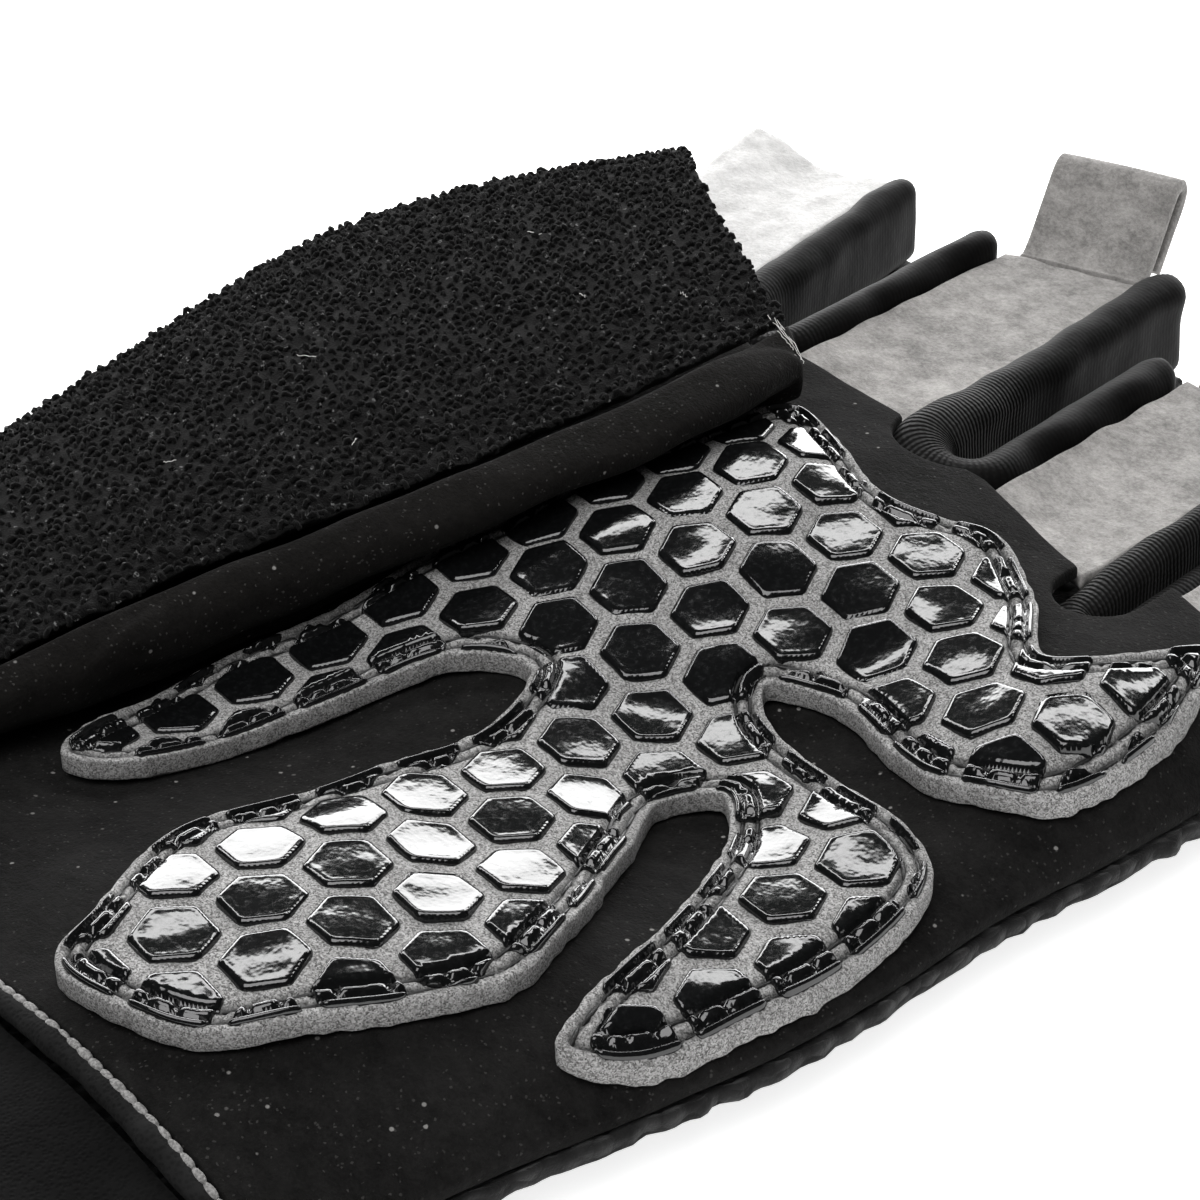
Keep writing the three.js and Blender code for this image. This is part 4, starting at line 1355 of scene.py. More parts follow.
@dataclass
class Palm:
    """Palm suede, from the wrist's piping to the fingers."""

    form: Form
    start: float = 1.2
    grid: float = 1.1
    dimples: Ripple = Ripple(5, 14.0, 0.12)
    creases: Ripple = Ripple(6, 4.0, 0.035)

    def outline(self) -> Array:
        """Cut edge of the palm, counter-clockwise from the wrist on the little finger's side."""
        left, right = self.form.side(Column.THUMB, 0.0), self.form.side(Column.LITTLE, 0.0)
        x = np.linspace(left, right, 80)
        wrist = self.form.wrist_seam(x) + self.start
        y = np.linspace(wrist[-1], FINGERS[3].root_right[1], 60)
        parts = [np.column_stack([x, wrist]), np.column_stack([self.form.side(Column.LITTLE, y), y])[1:]]
        for finger, strip in zip(reversed(FINGERS), (*reversed(STRIPS), None)):
            parts.append(np.array([finger.root_right, finger.root_left]))
            if strip is None:
                continue
            centre, bend = strip.turn()
            radius = bend + strip.width / 2 + GAP
            right = max((centre[1] - finger.root_left[1]) / radius, 0.0)
            left = max((centre[1] - strip.left.root_right[1]) / radius, 0.0)
            angle = np.linspace(2 * math.pi - math.asin(min(right, 0.99)),
                                math.pi + math.asin(min(left, 0.99)), 24)
            parts.append(arc(centre, radius, angle))
        y = np.linspace(FINGERS[0].root_left[1], wrist[0], 60)[1:-1]
        parts.append(np.column_stack([self.form.side(Column.THUMB, y), y]))
        return np.vstack(parts)

    def top(self, x: Array, y: Array) -> Array:
        """Upper face, with soft dimples and creases."""
        return self.form.palm(x, y) + self.dimples.at(x, y) - np.abs(self.creases.at(x, y))

    def dress(self, finishes: Finishes) -> None:
        """Makes the palm."""
        sheet = Sheet(self.outline(), self.top, SUEDE, self.grid, rounding=0.3)
        thing = sheet.solid().build("palm_suede", finishes.black_suede)
        settle(thing, "black_suede", "palm_panel")


@dataclass
class Back:
    """Rough knit of the back, whose rim shows past the palm."""

    form: Form
    start: float = -0.6
    rim: float = 0.4
    scallops: Ripple = Ripple(8, 2.0, 0.17)

    def outline(self) -> Array:
        """Cut edge of the back, with a rough knit rim."""
        y = np.linspace(self.start, FINGERS[3].tip_right[1], 160)
        side = self.form.side(Column.LITTLE, y) + self.rim
        parts = [np.column_stack([side + self.scallops.at(y, side), y])]
        for strip in reversed(STRIPS):
            half = strip.width / 2
            centre, bend = strip.turn()
            _, _, tip_a, tip_b = strip.ends()
            parts.append(np.array([[tip_b[0] - half, strip.right.tip_left[1]]]))
            angle = np.linspace(2 * math.pi, math.pi, 24)
            parts.append(arc(centre, bend - half, angle))
            parts.append(np.array([[tip_a[0] + half, strip.left.tip_right[1]]]))
        y = np.linspace(FINGERS[0].tip_left[1], self.start, 160)
        side = self.form.side(Column.THUMB, y) - self.rim
        parts.append(np.column_stack([side + self.scallops.at(y, side), y]))
        return np.vstack(parts)

    def dress(self, finishes: Finishes) -> None:
        """Makes the back."""
        def top(x: Array, y: Array) -> Array:
            return self.form.back(x, y) + KNIT
        thing = Sheet(self.outline(), top, KNIT, 1.6, rounding=0.4, edge=0.7).solid()
        settle(thing.build("back_knit", finishes.knit), "back_knit", "back_panel")


@dataclass
class GripPatch:
    """Felt patch with raised hexagons, sewn round its edge."""

    form: Form
    width: float = 66.0
    length: float = 93.0
    middle: tuple[float, float] = (14.0, 51.5)
    backing: float = 1.9
    edge_step: float = 0.5
    chart_step: float = 0.25
    felt_grid: float = 0.7
    # Hexagons: spacing, felt between them, turn in degrees, and shift of the pattern along X
    pitch: float = 7.15
    web: float = 1.2
    turn: float = 21.8
    shift: float = -0.4
    # Cells: height, shoulder, rounding of corners, felt left at the cut edge, smallest plan area,
    # depth of the skirt, and how far the felt is lowered under them
    raise_: float = 0.4
    shoulder: float = 0.3
    corner: float = 0.3
    margin: float = 0.35
    least_area: float = 1.2
    skirt: float = 0.35
    hidden: float = 0.4
    # Raised lip round a cell: place in from its outline, reach and height
    lip: tuple[float, float, float] = (0.42, 0.16, 0.03)
    # Two rows of stitches, from the cut edge, each in a groove, with pinches between the rows
    rows: tuple[float, float] = (1.0, 2.15)
    groove: float = 0.46
    groove_width: float = 0.21
    stitch: float = 2.5
    pinch: float = 0.34
    pinch_reach: float = 0.3
    band_fade: float = 0.4
    band_slope: float = 0.1
    # Mesh of a cell: lines along the grooves and inside the outline, then even points
    groove_levels: tuple = (-0.26, -0.11, 0.0, 0.11, 0.26)
    groove_spacing: float = 0.3
    cell_step: float = 0.14
    cell_outline: float = 0.02
    shoulder_levels: tuple = (0.1, 0.2, 0.32, 0.48, 0.7)
    # Outline in hundredths of width and length, clockwise from the tip of the thumb arm
    table: tuple = (
        (-42.5, -31.2), (-36.6, -28.8), (-30.7, -11.8), (-24.2, 0.9), (-16.2, 4.6), (-11.2, -0.6),
        (-12.3, -16.8), (-17.1, -32.7), (-10.2, -45.4), (-7.4, -50.0), (2.8, -50.9), (13.4, -48.2),
        (21.2, -39.4), (28.0, -26.5),
        (18.0, -7.8), (12.7, 0.3), (16.8, 4.1), (24.0, -0.9), (31.6, -13.4), (34.6, -24.5),
        (37.3, -28.8), (42.4, -25.8), (48.2, -8.2), (45.0, 7.1), (29.0, 11.1), (11.5, 13.9),
        (7.5, 16.9), (15.0, 19.2), (34.2, 15.6), (47.4, 19.5), (50.2, 31.9), (44.6, 44.3),
        (39.2, 37.7), (32.7, 32.2), (22.2, 40.0), (9.4, 45.5), (-4.4, 42.6), (-16.3, 46.5),
        (-29.0, 49.6), (-35.0, 36.0), (-43.8, 1.0), (-48.6, -15.6),
    )
    # Cells that lean: x and y near them, and slope down along the way below, or up with a minus
    leans: tuple = (
        (0, 86, -0.1), (-1, 79, -0.13), (3, 75, 0.07), (9, 78, -0.05), (18, 80, -0.07),
        (24, 75, -0.1), (29, 71, 0.06), (43, 83, 0.05), (42, 76, 0.15), (39, 55, -0.05),
        (27, 57, 0.13), (23, 29, 0.11), (-4, 64, -0.12), (3, 60, -0.1), (9, 57, -0.12),
        (-4, 57, 0.08), (3, 68, -0.06), (43, 45, 0.07),
    )
    lean_reach: float = 3.5
    down: tuple[float, float] = (-0.717, 0.697)
    # Spread of every cell's own lean, and how hollow or full its face is
    own_lean: float = 0.014
    dishes: tuple[float, float] = (-0.02, 0.006)
    ragged: Ripple = Ripple(21, 1.6, 0.06)
    sway: Ripple = Ripple(22, 9.0, 0.16)
    wander: Ripple = Ripple(23, 5.0, 0.45)

    def __post_init__(self) -> None:
        """Works out the cut edge and charts of the distance from it and the beat of the stitches."""
        points = [(self.middle[0] + x * self.width / 100, self.middle[1] + y * self.length / 100)
                  for x, y in self.table]
        loop = resample(catmull(points), self.edge_step)
        self.loop: Array = loop if area(loop) > 0 else loop[::-1]
        low, step = self.loop.min(0) - 1, self.chart_step
        x, y = Chart.around(low, self.loop.max(0) + 1, step)
        plan = np.column_stack([x.ravel(), y.ravel()])
        away, place = measure(self.loop, plan)
        away = (away * np.where(inside(self.loop, plan), 1, -1)).reshape(x.shape)
        self.depth = Chart(low, step, away)
        beats = round(len(self.loop) * self.edge_step / self.stitch)
        turn = place.reshape(x.shape) * (2 * math.pi * beats / len(self.loop))
        self.cosine, self.sine = Chart(low, step, np.cos(turn)), Chart(low, step, np.sin(turn))
        levels = [row + off for row in self.rows for off in self.groove_levels]
        self.followed: Array = np.vstack([resample(line, self.groove_spacing) for level in levels
                                          for line in self.depth.loops(level)])
        slope_x, slope_y = np.gradient(away, step)
        self.falling = Chart(low, step, slope_x * self.down[0] + slope_y * self.down[1])

    def base(self, x: Array, y: Array) -> Array:
        """Upper face of the felt before it is sewn down."""
        return self.form.palm(x, y) + LAYER_GAP + self.backing + self.sway.at(x, y)

    def pressed(self, x: Array, y: Array) -> Array:
        """How deep the stitches press the patch at places."""
        depth = self.depth.at(x, y)
        near, far = self.rows
        deep = sum(bell(depth - row, self.groove_width) for row in self.rows) * self.groove
        turn = np.arctan2(self.sine.at(x, y), self.cosine.at(x, y)) / (2 * math.pi)
        beat = np.abs((turn + self.wander.at(x, y) / self.stitch) % 1 - 0.5) * self.stitch
        pinch = bell(beat, self.pinch_reach) * self.pinch
        fade = self.band_fade
        between = smooth(near - fade, near, depth) * (1 - smooth(far, far + fade, depth))
        tilt = (depth - (near + far) / 2) * self.falling.at(x, y) * self.band_slope
        return np.maximum(deep, pinch * between) + tilt * between

    def middles(self) -> Array:
        """Middles of the hexagons on the patch and across its edge."""
        row, other = np.radians(self.turn), np.radians(self.turn - 60)
        i, j = (k.ravel() for k in np.meshgrid(np.arange(-14, 15), np.arange(-14, 15), indexing="ij"))
        x = self.middle[0] + self.shift + self.pitch * (i * math.cos(row) + j * math.cos(other))
        y = self.middle[1] + self.pitch * (i * math.sin(row) + j * math.sin(other))
        near_x = np.abs(x - self.middle[0]) <= self.width * 0.6
        near_y = np.abs(y - self.middle[1]) <= self.length * 0.6
        reached = self.depth.at(x, y) >= -0.6 * self.pitch
        return np.column_stack([x, y])[near_x & near_y & reached]

    def facing(self) -> Array:
        """Angles that the six sides of a hexagon face."""
        return np.radians(self.turn + 60 * np.arange(6))

    def under(self, x: Array, y: Array) -> Array:
        """How far places are inside the nearest hexagon."""
        points, middles = np.column_stack([x, y]), self.middles()
        off = points - middles[np.argmin(np.sum((points[:, None] - middles) ** 2, axis=2), axis=1)]
        reach = off[:, :1] * np.cos(self.facing()) + off[:, 1:] * np.sin(self.facing())
        return (self.pitch - self.web) / 2 - np.max(reach, axis=1)

    def felt(self, finishes: Finishes) -> None:
        """Makes the felt backing, with a darker line along each row of stitches."""
        normal = outward(self.loop)
        edge = self.loop + normal * self.ragged.at(*self.loop.T)[:, None]

        def top(x: Array, y: Array) -> Array:
            under = smooth(0.15, 0.5, self.under(x, y)) * smooth(0.4, 0.8, self.depth.at(x, y))
            return self.base(x, y) - self.pressed(x, y) - self.hidden * under

        def fine(points: Array) -> Array:
            return self.depth.at(*points.T) < self.rows[1] + 0.7

        sheet = Sheet(edge, top, self.backing, self.felt_grid, rounding=0.22, edge=0.4, fine=fine)
        solid = sheet.solid()
        depth = self.depth.at(*solid.points[:, :2].T)
        solid.values["sewn"] = sum(np.exp(-((depth - row) / 0.3) ** 4) for row in self.rows) * 0.85
        settle(solid.build("grip_felt", finishes.felt), "grip_gel", "grip_patch")

    def cell_chart(self, centre: Array) -> Chart:
        """How far places round a hexagon's middle are inside its cell."""
        reach = self.pitch * 0.62
        x, y = Chart.around(centre - reach, centre + reach, self.cell_step)
        apothem = (self.pitch - self.web) / 2
        inner = self.depth.at(x, y) - self.margin
        for angle in self.facing():
            side = apothem - (x - centre[0]) * math.cos(angle) - (y - centre[1]) * math.sin(angle)
            blend = np.clip(0.5 + 0.5 * (side - inner) / self.corner, 0, 1)
            inner = side * (1 - blend) + inner * blend - self.corner * blend * (1 - blend)
        return Chart(centre - reach, self.cell_step, inner)

    def slope(self, centre: Array, rng: np.random.Generator) -> Array:
        """Slope of a cell's face along X and Y: a little of its own, and what it leans."""
        lean = rng.normal(0, self.own_lean, 2)
        for x, y, slope in self.leans:
            off = ((centre[0] - x) ** 2 + (centre[1] - y) ** 2) / self.lean_reach ** 2
            lean = lean - slope * math.exp(-off) * np.array(self.down)
        return lean

    def shoulder_points(self, ring: Array) -> Array:
        """Points along a shoulder's line, closer together in the stitched band."""
        parts = []
        for spacing, sewn in ((0.42, False), (0.14, True)):
            line = resample(ring, spacing)
            depth = self.depth.at(*line.T)
            parts.append(line[(depth <= self.rows[1] + 0.3) == sewn])
        return np.vstack(parts)

    def inner_points(self, loop: Array, rings: list[Array], centre: Array) -> Array:
        """Mesh points inside a cell's outline.

        Args:
            loop: The outline.
            rings: Lines of the shoulders of all the hexagon's bodies.
            centre: Middle of the hexagon.

        Returns:
            Plan points: shoulders, grooves, then even ones, dense in the stitched band.
        """
        band = self.rows[1] + 0.6
        fine = hex_points(loop, 0.25, 0.12)
        depth = self.depth.at(*fine.T)
        off_rows = np.min([np.abs(depth - row) for row in self.rows], axis=0) > 0.36
        fine = fine[(depth < band) & off_rows]
        coarse = hex_points(loop, 0.6, 0.85)
        coarse = coarse[self.depth.at(*coarse.T) >= band]
        near = self.followed[np.max(np.abs(self.followed - centre), axis=1) < self.pitch * 0.62]
        near = near[inside(loop, near)]
        near = near[measure(loop, near)[0] > 0.1] if len(near) else near
        shoulders = np.vstack([np.zeros((0, 2)), *[ring[inside(loop, ring)] for ring in rings]])
        parts = [shoulders]
        for more in (near, fine):
            if len(more) and len(shoulders):
                gap = np.min(np.sum((more[:, None] - shoulders) ** 2, axis=2), axis=1)
                more = more[gap > 0.07 ** 2]
            parts.append(more)
        return np.vstack([*parts, coarse])

    def cell(self, centre: Array, rng: np.random.Generator) -> list[Solid]:
        """The raised cell of one hexagon, in as many bodies as the cut edge leaves of it.

        Args:
            centre: Middle of the hexagon.
            rng: Source of the cell's own lean and dish.

        Returns:
            Closed bodies, or none.
        """
        slope, dish = self.slope(centre, rng), rng.uniform(*self.dishes)
        chart = self.cell_chart(centre)
        rings = [self.shoulder_points(ring) for level in self.shoulder_levels
                 for ring in chart.loops(level)]
        place, reach, height = self.lip
        out = []
        for outline in chart.loops(self.cell_outline):
            if area(outline) < self.least_area:
                continue
            loop = resample(outline, 0.4)
            plan, tris = fill(loop, self.inner_points(loop, rings, centre))
            x, y = plan.T
            own = np.maximum(chart.at(x, y), 0)
            rise = 1 - (1 - np.clip(own / self.shoulder, 0, 1)) ** 2.2
            lip = bell(own - place, reach) * height
            off = plan - centre
            rise = self.raise_ * rise + lip + off @ slope + dish * np.sum(off * off, axis=1) / 5
            rise[:len(loop)] = 0
            pressed = self.pressed(x, y) * (1 + 0.6 * np.clip(own / 0.3, 0, 1))
            z = self.base(x, y) + rise - pressed
            out.append(skirted(np.column_stack([plan, z]), tris, len(loop), self.skirt))
        return out

    def cells(self, finishes: Finishes) -> None:
        """Makes every raised cell as one piece."""
        rng = np.random.default_rng(4)
        whole = Solid(np.zeros((0, 3)), [])
        for centre in self.middles():
            for body in self.cell(centre, rng):
                whole = whole.join(body)
        settle(whole.build("grip_cells", finishes.gel), "grip_gel")

    def thread(self, finishes: Finishes) -> None:
        """Sews the patch down with two rows of black stitches."""
        runs = []
        for row in self.rows:
            for loop in self.depth.loops(row):
                line = resample(loop, 0.5)
                z = self.base(*line.T) - self.groove + 0.12
                runs.append(np.column_stack([line, z]))
        stitches = Stitching("grip_stitches", self.stitch, 2.2, 0.42, 0.36, uneven=0.15)
        settle(stitches.sew(runs, True, finishes.black_thread), "grip_gel")

    def dress(self, finishes: Finishes) -> None:
        """Makes the patch."""
        self.felt(finishes)
        self.cells(finishes)
        self.thread(finishes)


@dataclass
class FingerPanels:
    """Grey suede on the palm side of each finger."""

    form: Form
    root_height: float = 10.8
    tip_height: float = 9.6
    sag: float = 0.9
    start: float = 0.45
    # Swell of the middle finger's panel: place along it, reach and rise
    swell: tuple[float, float, float] = (0.38, 0.2, 0.5)
    # Index finger's panel: where its free edge flattens, its hollow across and its raised corner
    flat: tuple[float, float] = (0.35, 0.85)
    hollow: tuple[float, float, float] = (0.52, 0.26, 1.5)
    corner: tuple[float, float] = (0.2, 0.5)
    nap: Ripple = Ripple(31, 5.0, 0.08)

    def top(self, finger: Finger, u: Array, v: Array) -> Array:
        """Height of a finger's upper face."""
        level = self.root_height + (self.tip_height - self.root_height) * v
        dip = self.sag * np.sin(math.pi * u) * np.sin(math.pi * np.minimum(v + 0.2, 1))
        if finger.name == "middle":
            place, reach, rise = self.swell
            level = level + rise * bell(v - place, reach) * np.sin(math.pi * u)
        if finger.free == 0:
            return level - dip
        seam, power = self.form.seams[0 if finger.free < 0 else 1]
        curl = np.maximum(finger.free * (2 * u - 1), 0) ** power
        if finger.name == "index":
            curl = curl * (1 - 0.95 * smooth(*self.flat, v))
            place, reach, depth = self.hollow
            dip = dip + depth * bell(u - place, reach) * smooth(0.55, 1.0, v)
            reach, rise = self.corner
            level = level + rise * smooth(0.7, 1.0, v) * bell(u, reach)
        return (level - dip) * (1 - curl) + seam * curl

    def dress(self, finishes: Finishes) -> None:
        """Makes the four panels."""
        for finger in FINGERS:
            length = finger.tip_left[1] - finger.root_left[1]
            u, v = np.meshgrid(np.linspace(0, 1, 44), np.linspace(self.start / length, 1, 70),
                               indexing="ij")
            x, y = finger.plan(u, v)
            z = self.top(finger, u, v) + self.nap.at(x, y)
            outer = np.stack([x, y, z], 2)
            inner = outer - [0, 0, SUEDE]
            # The index finger's panel takes the copy of the grey suede that is painted lighter, as painted
            # light
            finish = finishes.pale_suede if finger.name == "index" else finishes.grey_suede
            place_closed(wall(outer, inner), f"{finger.name}_suede", finish, "grey_suede",
                         f"{finger.name}_panel")


@dataclass
class Fourchettes:
    """Ribbed side strips between the fingers, rolled over at the top."""

    bottom: float = KNIT + GAP
    steps: int = 170
    sides: int = 44
    bulge_reach: float = 7.0
    puckers: Ripple = Ripple(41, 7.0, 0.16)

    def route(self, strip: Strip) -> Array:
        """Middle line of a strip in plan."""
        centre, bend = strip.turn()
        _, _, tip_a, tip_b = strip.ends()
        turn = arc(centre, bend, np.radians(np.linspace(180, 360, 25)))
        line = np.vstack([np.linspace(tip_a, turn[0], 20)[:-1], turn, np.linspace(turn[-1], tip_b, 20)[1:]])
        return resample(line, covered(line)[-1] / self.steps, closed=False)

    def section(self, width: float, low: float, high: float) -> Array:
        """Upright section with round ends, as across and up.

        Args:
            width: Its width.
            low: Height of its foot.
            high: Height of its crest.

        Returns:
            Points round it, anticlockwise from the right.
        """
        r = width / 2
        straight = max(high - low - width, 0.1)
        length = 2 * math.pi * r + 2 * straight
        out = []
        for k in range(self.sides):
            run = (k + 0.5) * length / self.sides
            if run < straight:
                out.append((r, low + r + run))
            elif run < straight + math.pi * r:
                a = (run - straight) / r
                out.append((r * math.cos(a), high - r + r * math.sin(a)))
            elif run < 2 * straight + math.pi * r:
                out.append((-r, high - r - (run - straight - math.pi * r)))
            else:
                a = (run - 2 * straight - math.pi * r) / r
                out.append((-r * math.cos(a), low + r - r * math.sin(a)))
        return np.array(out)

    def solid(self, strip: Strip) -> Solid:
        """One strip's closed body, with its length and girth as UV."""
        line = self.route(strip)
        way = ways(line)
        side = np.column_stack([way[:, 1], -way[:, 0]])
        run = covered(line)
        share = run / run[-1]
        top = strip.top_left + (strip.top_right - strip.top_left) * smooth(0.3, 0.7, share)
        ends = np.clip(np.minimum(share, 1 - share) * run[-1] / (0.5 * strip.width), 0, 1)
        swell = 0.35 + 0.65 * np.sqrt(1 - (1 - ends) ** 2)
        away = (share - 0.5) * run[-1]
        full = strip.bulge * bell(away, self.bulge_reach)
        width = strip.width * swell + full
        top = top - strip.width * 0.25 * (1 - swell) + 0.9 * full
        rows = []
        for i in range(len(line)):
            form = self.section(width[i], self.bottom, top[i])
            across, up = form[:, 0], form[:, 1]
            x, y = line[i, 0] + side[i, 0] * across, line[i, 1] + side[i, 1] * across
            push = self.puckers.at(x, y, up) * (up - self.bottom) / (top[i] - self.bottom)
            x, y = x + side[i, 0] * push, y + side[i, 1] * push
            rows.append(np.column_stack([x, y, up + 0.5 * push]))
        points, faces = tube(np.array(rows))
        girth = np.linspace(0, 2 * (strip.width + top.mean() - self.bottom), self.sides)
        uv = np.stack(np.meshgrid(run, girth, indexing="ij"), 2).reshape(-1, 2)
        uv = np.vstack([uv, [0, 0], [run[-1], 0]])
        bent = bell(away, strip.ribbed)
        values = np.concatenate([np.repeat(bent, self.sides), bent[[0, -1]]])
        return Solid(points, faces, {"bent": values}, uv)

    def dress(self, finishes: Finishes) -> None:
        """Makes the three strips."""
        for strip in STRIPS:
            name = strip.name.replace("fourchette", "ribs")
            place_closed(self.solid(strip), name, finishes.ribs, "ribbed_knit", strip.name)


@dataclass
class PullTabs:
    """Doubled loops of grey suede at two fingertips."""

    width: float = 13.0
    rise: float = 8.5
    lean: float = 48.0
    slit: float = 1.1
    tip_height: float = 9.6

    def line(self) -> Array:
        """Middle line of the loop, as out and up."""
        lean = math.radians(self.lean)
        way = np.array([math.cos(lean), math.sin(lean)])
        fold = (self.slit + SUEDE) / 2
        start = np.array([2.5 * GAP + SUEDE / 2, 0.0])
        knee = start + [SUEDE, 0.1 * self.rise]
        top = knee + way * self.rise
        turn = top + np.array([way[1], -way[0]]) * fold
        points = [start - [SUEDE / 2, 0], start, knee, (knee + top) / 2, top]
        for angle in (45, 90, 135, 180):
            a = lean + math.pi / 2 - math.radians(angle)
            points.append(turn + fold * np.array([math.cos(a), math.sin(a)]))
        points.append(points[-1] - way * 0.45 * self.rise)
        points.append(points[-2] - way * 0.9 * self.rise)
        return catmull(points, 8, closed=False)

    def dress(self, finishes: Finishes) -> None:
        """Makes the two tabs."""
        for finger in (FINGERS[1], FINGERS[2]):
            line = self.line()
            way = ways(line)
            normal = np.column_stack([-way[:, 1], way[:, 0]])
            left, right = np.array(finger.tip_left), np.array(finger.tip_right)
            edge = (right - left) / np.linalg.norm(right - left)
            out = np.array([-edge[1], edge[0]])
            middle = (left + right) / 2
            spread = np.linspace(-1, 1, 36)
            sides = []
            for face in (0.5, -0.5):
                place = line + normal * face * SUEDE
                bow = 0.25 * (1 - spread ** 2)[None, :] * smooth(2.0, 8.0, line[:, 0])[:, None]
                x = middle[0] + out[0] * (place[:, :1] + bow) + edge[0] * spread * self.width / 2
                y = middle[1] + out[1] * (place[:, :1] + bow) + edge[1] * spread * self.width / 2
                z = np.broadcast_to(place[:, 1:] + self.tip_height - SUEDE / 2, x.shape)
                sides.append(np.stack([x, y, z], 2))
            place_closed(wall(*sides), f"{finger.name}_tab_suede", finishes.grey_suede, "grey_suede",
                         f"{finger.name}_pull_tab")


@dataclass
class Thumb:
    """Thumb of towelling over suede, folded across the palm's edge and resting on the grip patch."""

    form: Form
    grip: GripPatch
    lift: float = 0.6
    patch_lift: float = 3.0
    squareness: float = 3.0
    crown: float = 0.10
    seam_right: float = 45.0
    seam_left: float = 200.0
    seam_gap: float = 12.0
    terry: float = 2.0
    suede: float = 1.2
    end_hollow: float = 2.2
    fray_count: int = 5
    hair_count: int = 9
    thread_radius: float = 0.03
    pile: Pile = Pile("towelling_loops", 0.8, 0.62, 0.4, 0.21)
    ripple: Ripple = Ripple(51, 9.0, 0.12)
    lumps: Ripple = Ripple(52, 2.0, 0.16, 30)
    # place, right x, right y, left x, left y, base right, base left, top right, top left
    table: tuple = (
        (0 / 6, -0.200, 0.04, -0.43, 0.07, 0.95, 1.02, 1.50, 1.36),
        (1 / 6, -0.176, 0.22, -0.50, 0.25, 0.85, 0.94, 1.57, 1.39),
        (2 / 6, -0.156, 0.40, -0.545, 0.45, 0.72, 0.88, 1.63, 1.43),
        (3 / 6, -0.092, 0.60, -0.58, 0.66, 0.75, 0.82, 1.76, 1.56),
        (4 / 6, -0.045, 0.78, -0.615, 0.87, 0.80, 0.84, 1.87, 1.62),
        (5 / 6, -0.036, 0.89, -0.585, 1.07, 0.90, 0.90, 1.92, 1.62),
        (6 / 6, -0.050, 0.98, -0.49, 1.285, 1.00, 0.98, 1.90, 1.60),
    )

    def point(self, share: Array, angle: Array, depth: float) -> Array:
        """Points of the thumb at shares of its length and angles round it.

        Args:
            share: Shares of the length from the root.
            angle: Degrees round the section.
            depth: How far inside the outer face, along the section.

        Returns:
            Points, in the shape of share and angle with 3 added.
        """
        rx, ry, lx, ly, br, bl, tr, tl = (along(self.table, k, share) for k in range(1, 9))
        width, length, height = self.form.width, self.form.length, self.form.height
        right = np.stack([rx * width, ry * length], -1)
        left = np.stack([lx * width, ly * length], -1)
        span = np.linalg.norm(right - left, axis=-1)
        across, up = rounded_square(angle, self.squareness)
        s = across * (1 - 2 * depth / span)
        place = (s + 1) / 2
        plan = left + (right - left) * place[..., None]
        plan[..., 1] -= self.end_hollow * (1 - s * s) * smooth(0.7, 1.0, share)
        hung = (bl + (br - bl) * place) * height
        x, y = plan[..., 0], plan[..., 1]
        rise = self.lift + (self.patch_lift - self.lift) * smooth(-1.0, 0.3, self.grip.depth.at(x, y))
        base = np.maximum(hung, self.form.palm(x, y) + rise)
        top = (tl + (tr - tl) * place + self.crown * (1 - s * s)) * height
        middle = (base + top) / 2
        reach = np.maximum(middle - base - depth, GAP)
        return np.concatenate([plan, (middle + up * reach)[..., None]], -1)

    def shell(self, start: float, end: float, depth: float, around: int,
              lengthwise: int) -> tuple[Array, Array]:
        """Outer and inner grids of one wall of the thumb, between two angles."""
        angle, share = np.meshgrid(np.linspace(start, end, around), np.linspace(0, 1, lengthwise),
                                   indexing="ij")
        return self.point(share, angle, 0.0), self.point(share, angle, depth)

    def dress(self, finishes: Finishes) -> None:
        """Makes the suede, the towelling's ground and its loops."""
        outer, inner = self.shell(self.seam_left + self.seam_gap, 360 + self.seam_right - self.seam_gap / 2,
                                  self.suede, 70, 120)
        outer[..., 2] += self.ripple.at(outer[..., 0], outer[..., 1])
        place_closed(wall(outer, inner), "thumb_suede_strip", finishes.thumb_suede, "black_suede",
                     "thumb_suede")
        around, lengthwise = 110, 220
        outer, inner = self.shell(self.seam_right, self.seam_left, self.terry, around, lengthwise)
        ground = outer * 0.86 + inner * 0.14
        ground[..., 2] += self.lumps.at(ground[..., 0], ground[..., 1], ground[..., 2])
        place_closed(wall(ground, inner), "thumb_terry_ground", finishes.terry, "towelling", "thumb_terry")
        surface = Solid(ground.reshape(-1, 3), strip_faces(around, lengthwise, False))
        cover = surface.build("thumb_terry_loops", finishes.terry)
        faces_up(cover)
        settle(self.pile.cover(cover, finishes.terry), "towelling")
        self.frays(finishes)

    def frays(self, finishes: Finishes) -> None:
        """Makes the loose white threads at the end of the seam, and a few hairs on the towelling."""
        rng = np.random.default_rng(53)
        runs = []
        for _ in range(self.fray_count):
            share = 0.985 + rng.uniform(-0.012, 0.012)
            turn = self.seam_right + rng.uniform(-6, 8) - np.linspace(0, rng.uniform(14, 40), 14)
            line = self.point(np.linspace(share, share + rng.uniform(-0.01, 0.02), 14), turn, -0.12)
            runs.append(line + rng.normal(0, 0.12, 3) + rng.normal(0, 0.04, (14, 3)))
        for _ in range(self.hair_count):
            share, angle = rng.uniform(0.1, 0.98), rng.uniform(self.seam_right + 5, 110)
            turn = angle + np.linspace(0, rng.uniform(1, 3), 8)
            line = self.point(share + np.linspace(0, rng.uniform(-0.012, 0.012), 8), turn, -0.3)
            runs.append(line + rng.normal(0, 0.06, (8, 3)))
        threads = LooseThreads("thumb_loose_threads", self.thread_radius)
        settle(threads.lay(runs, finishes.pale_thread), "towelling")


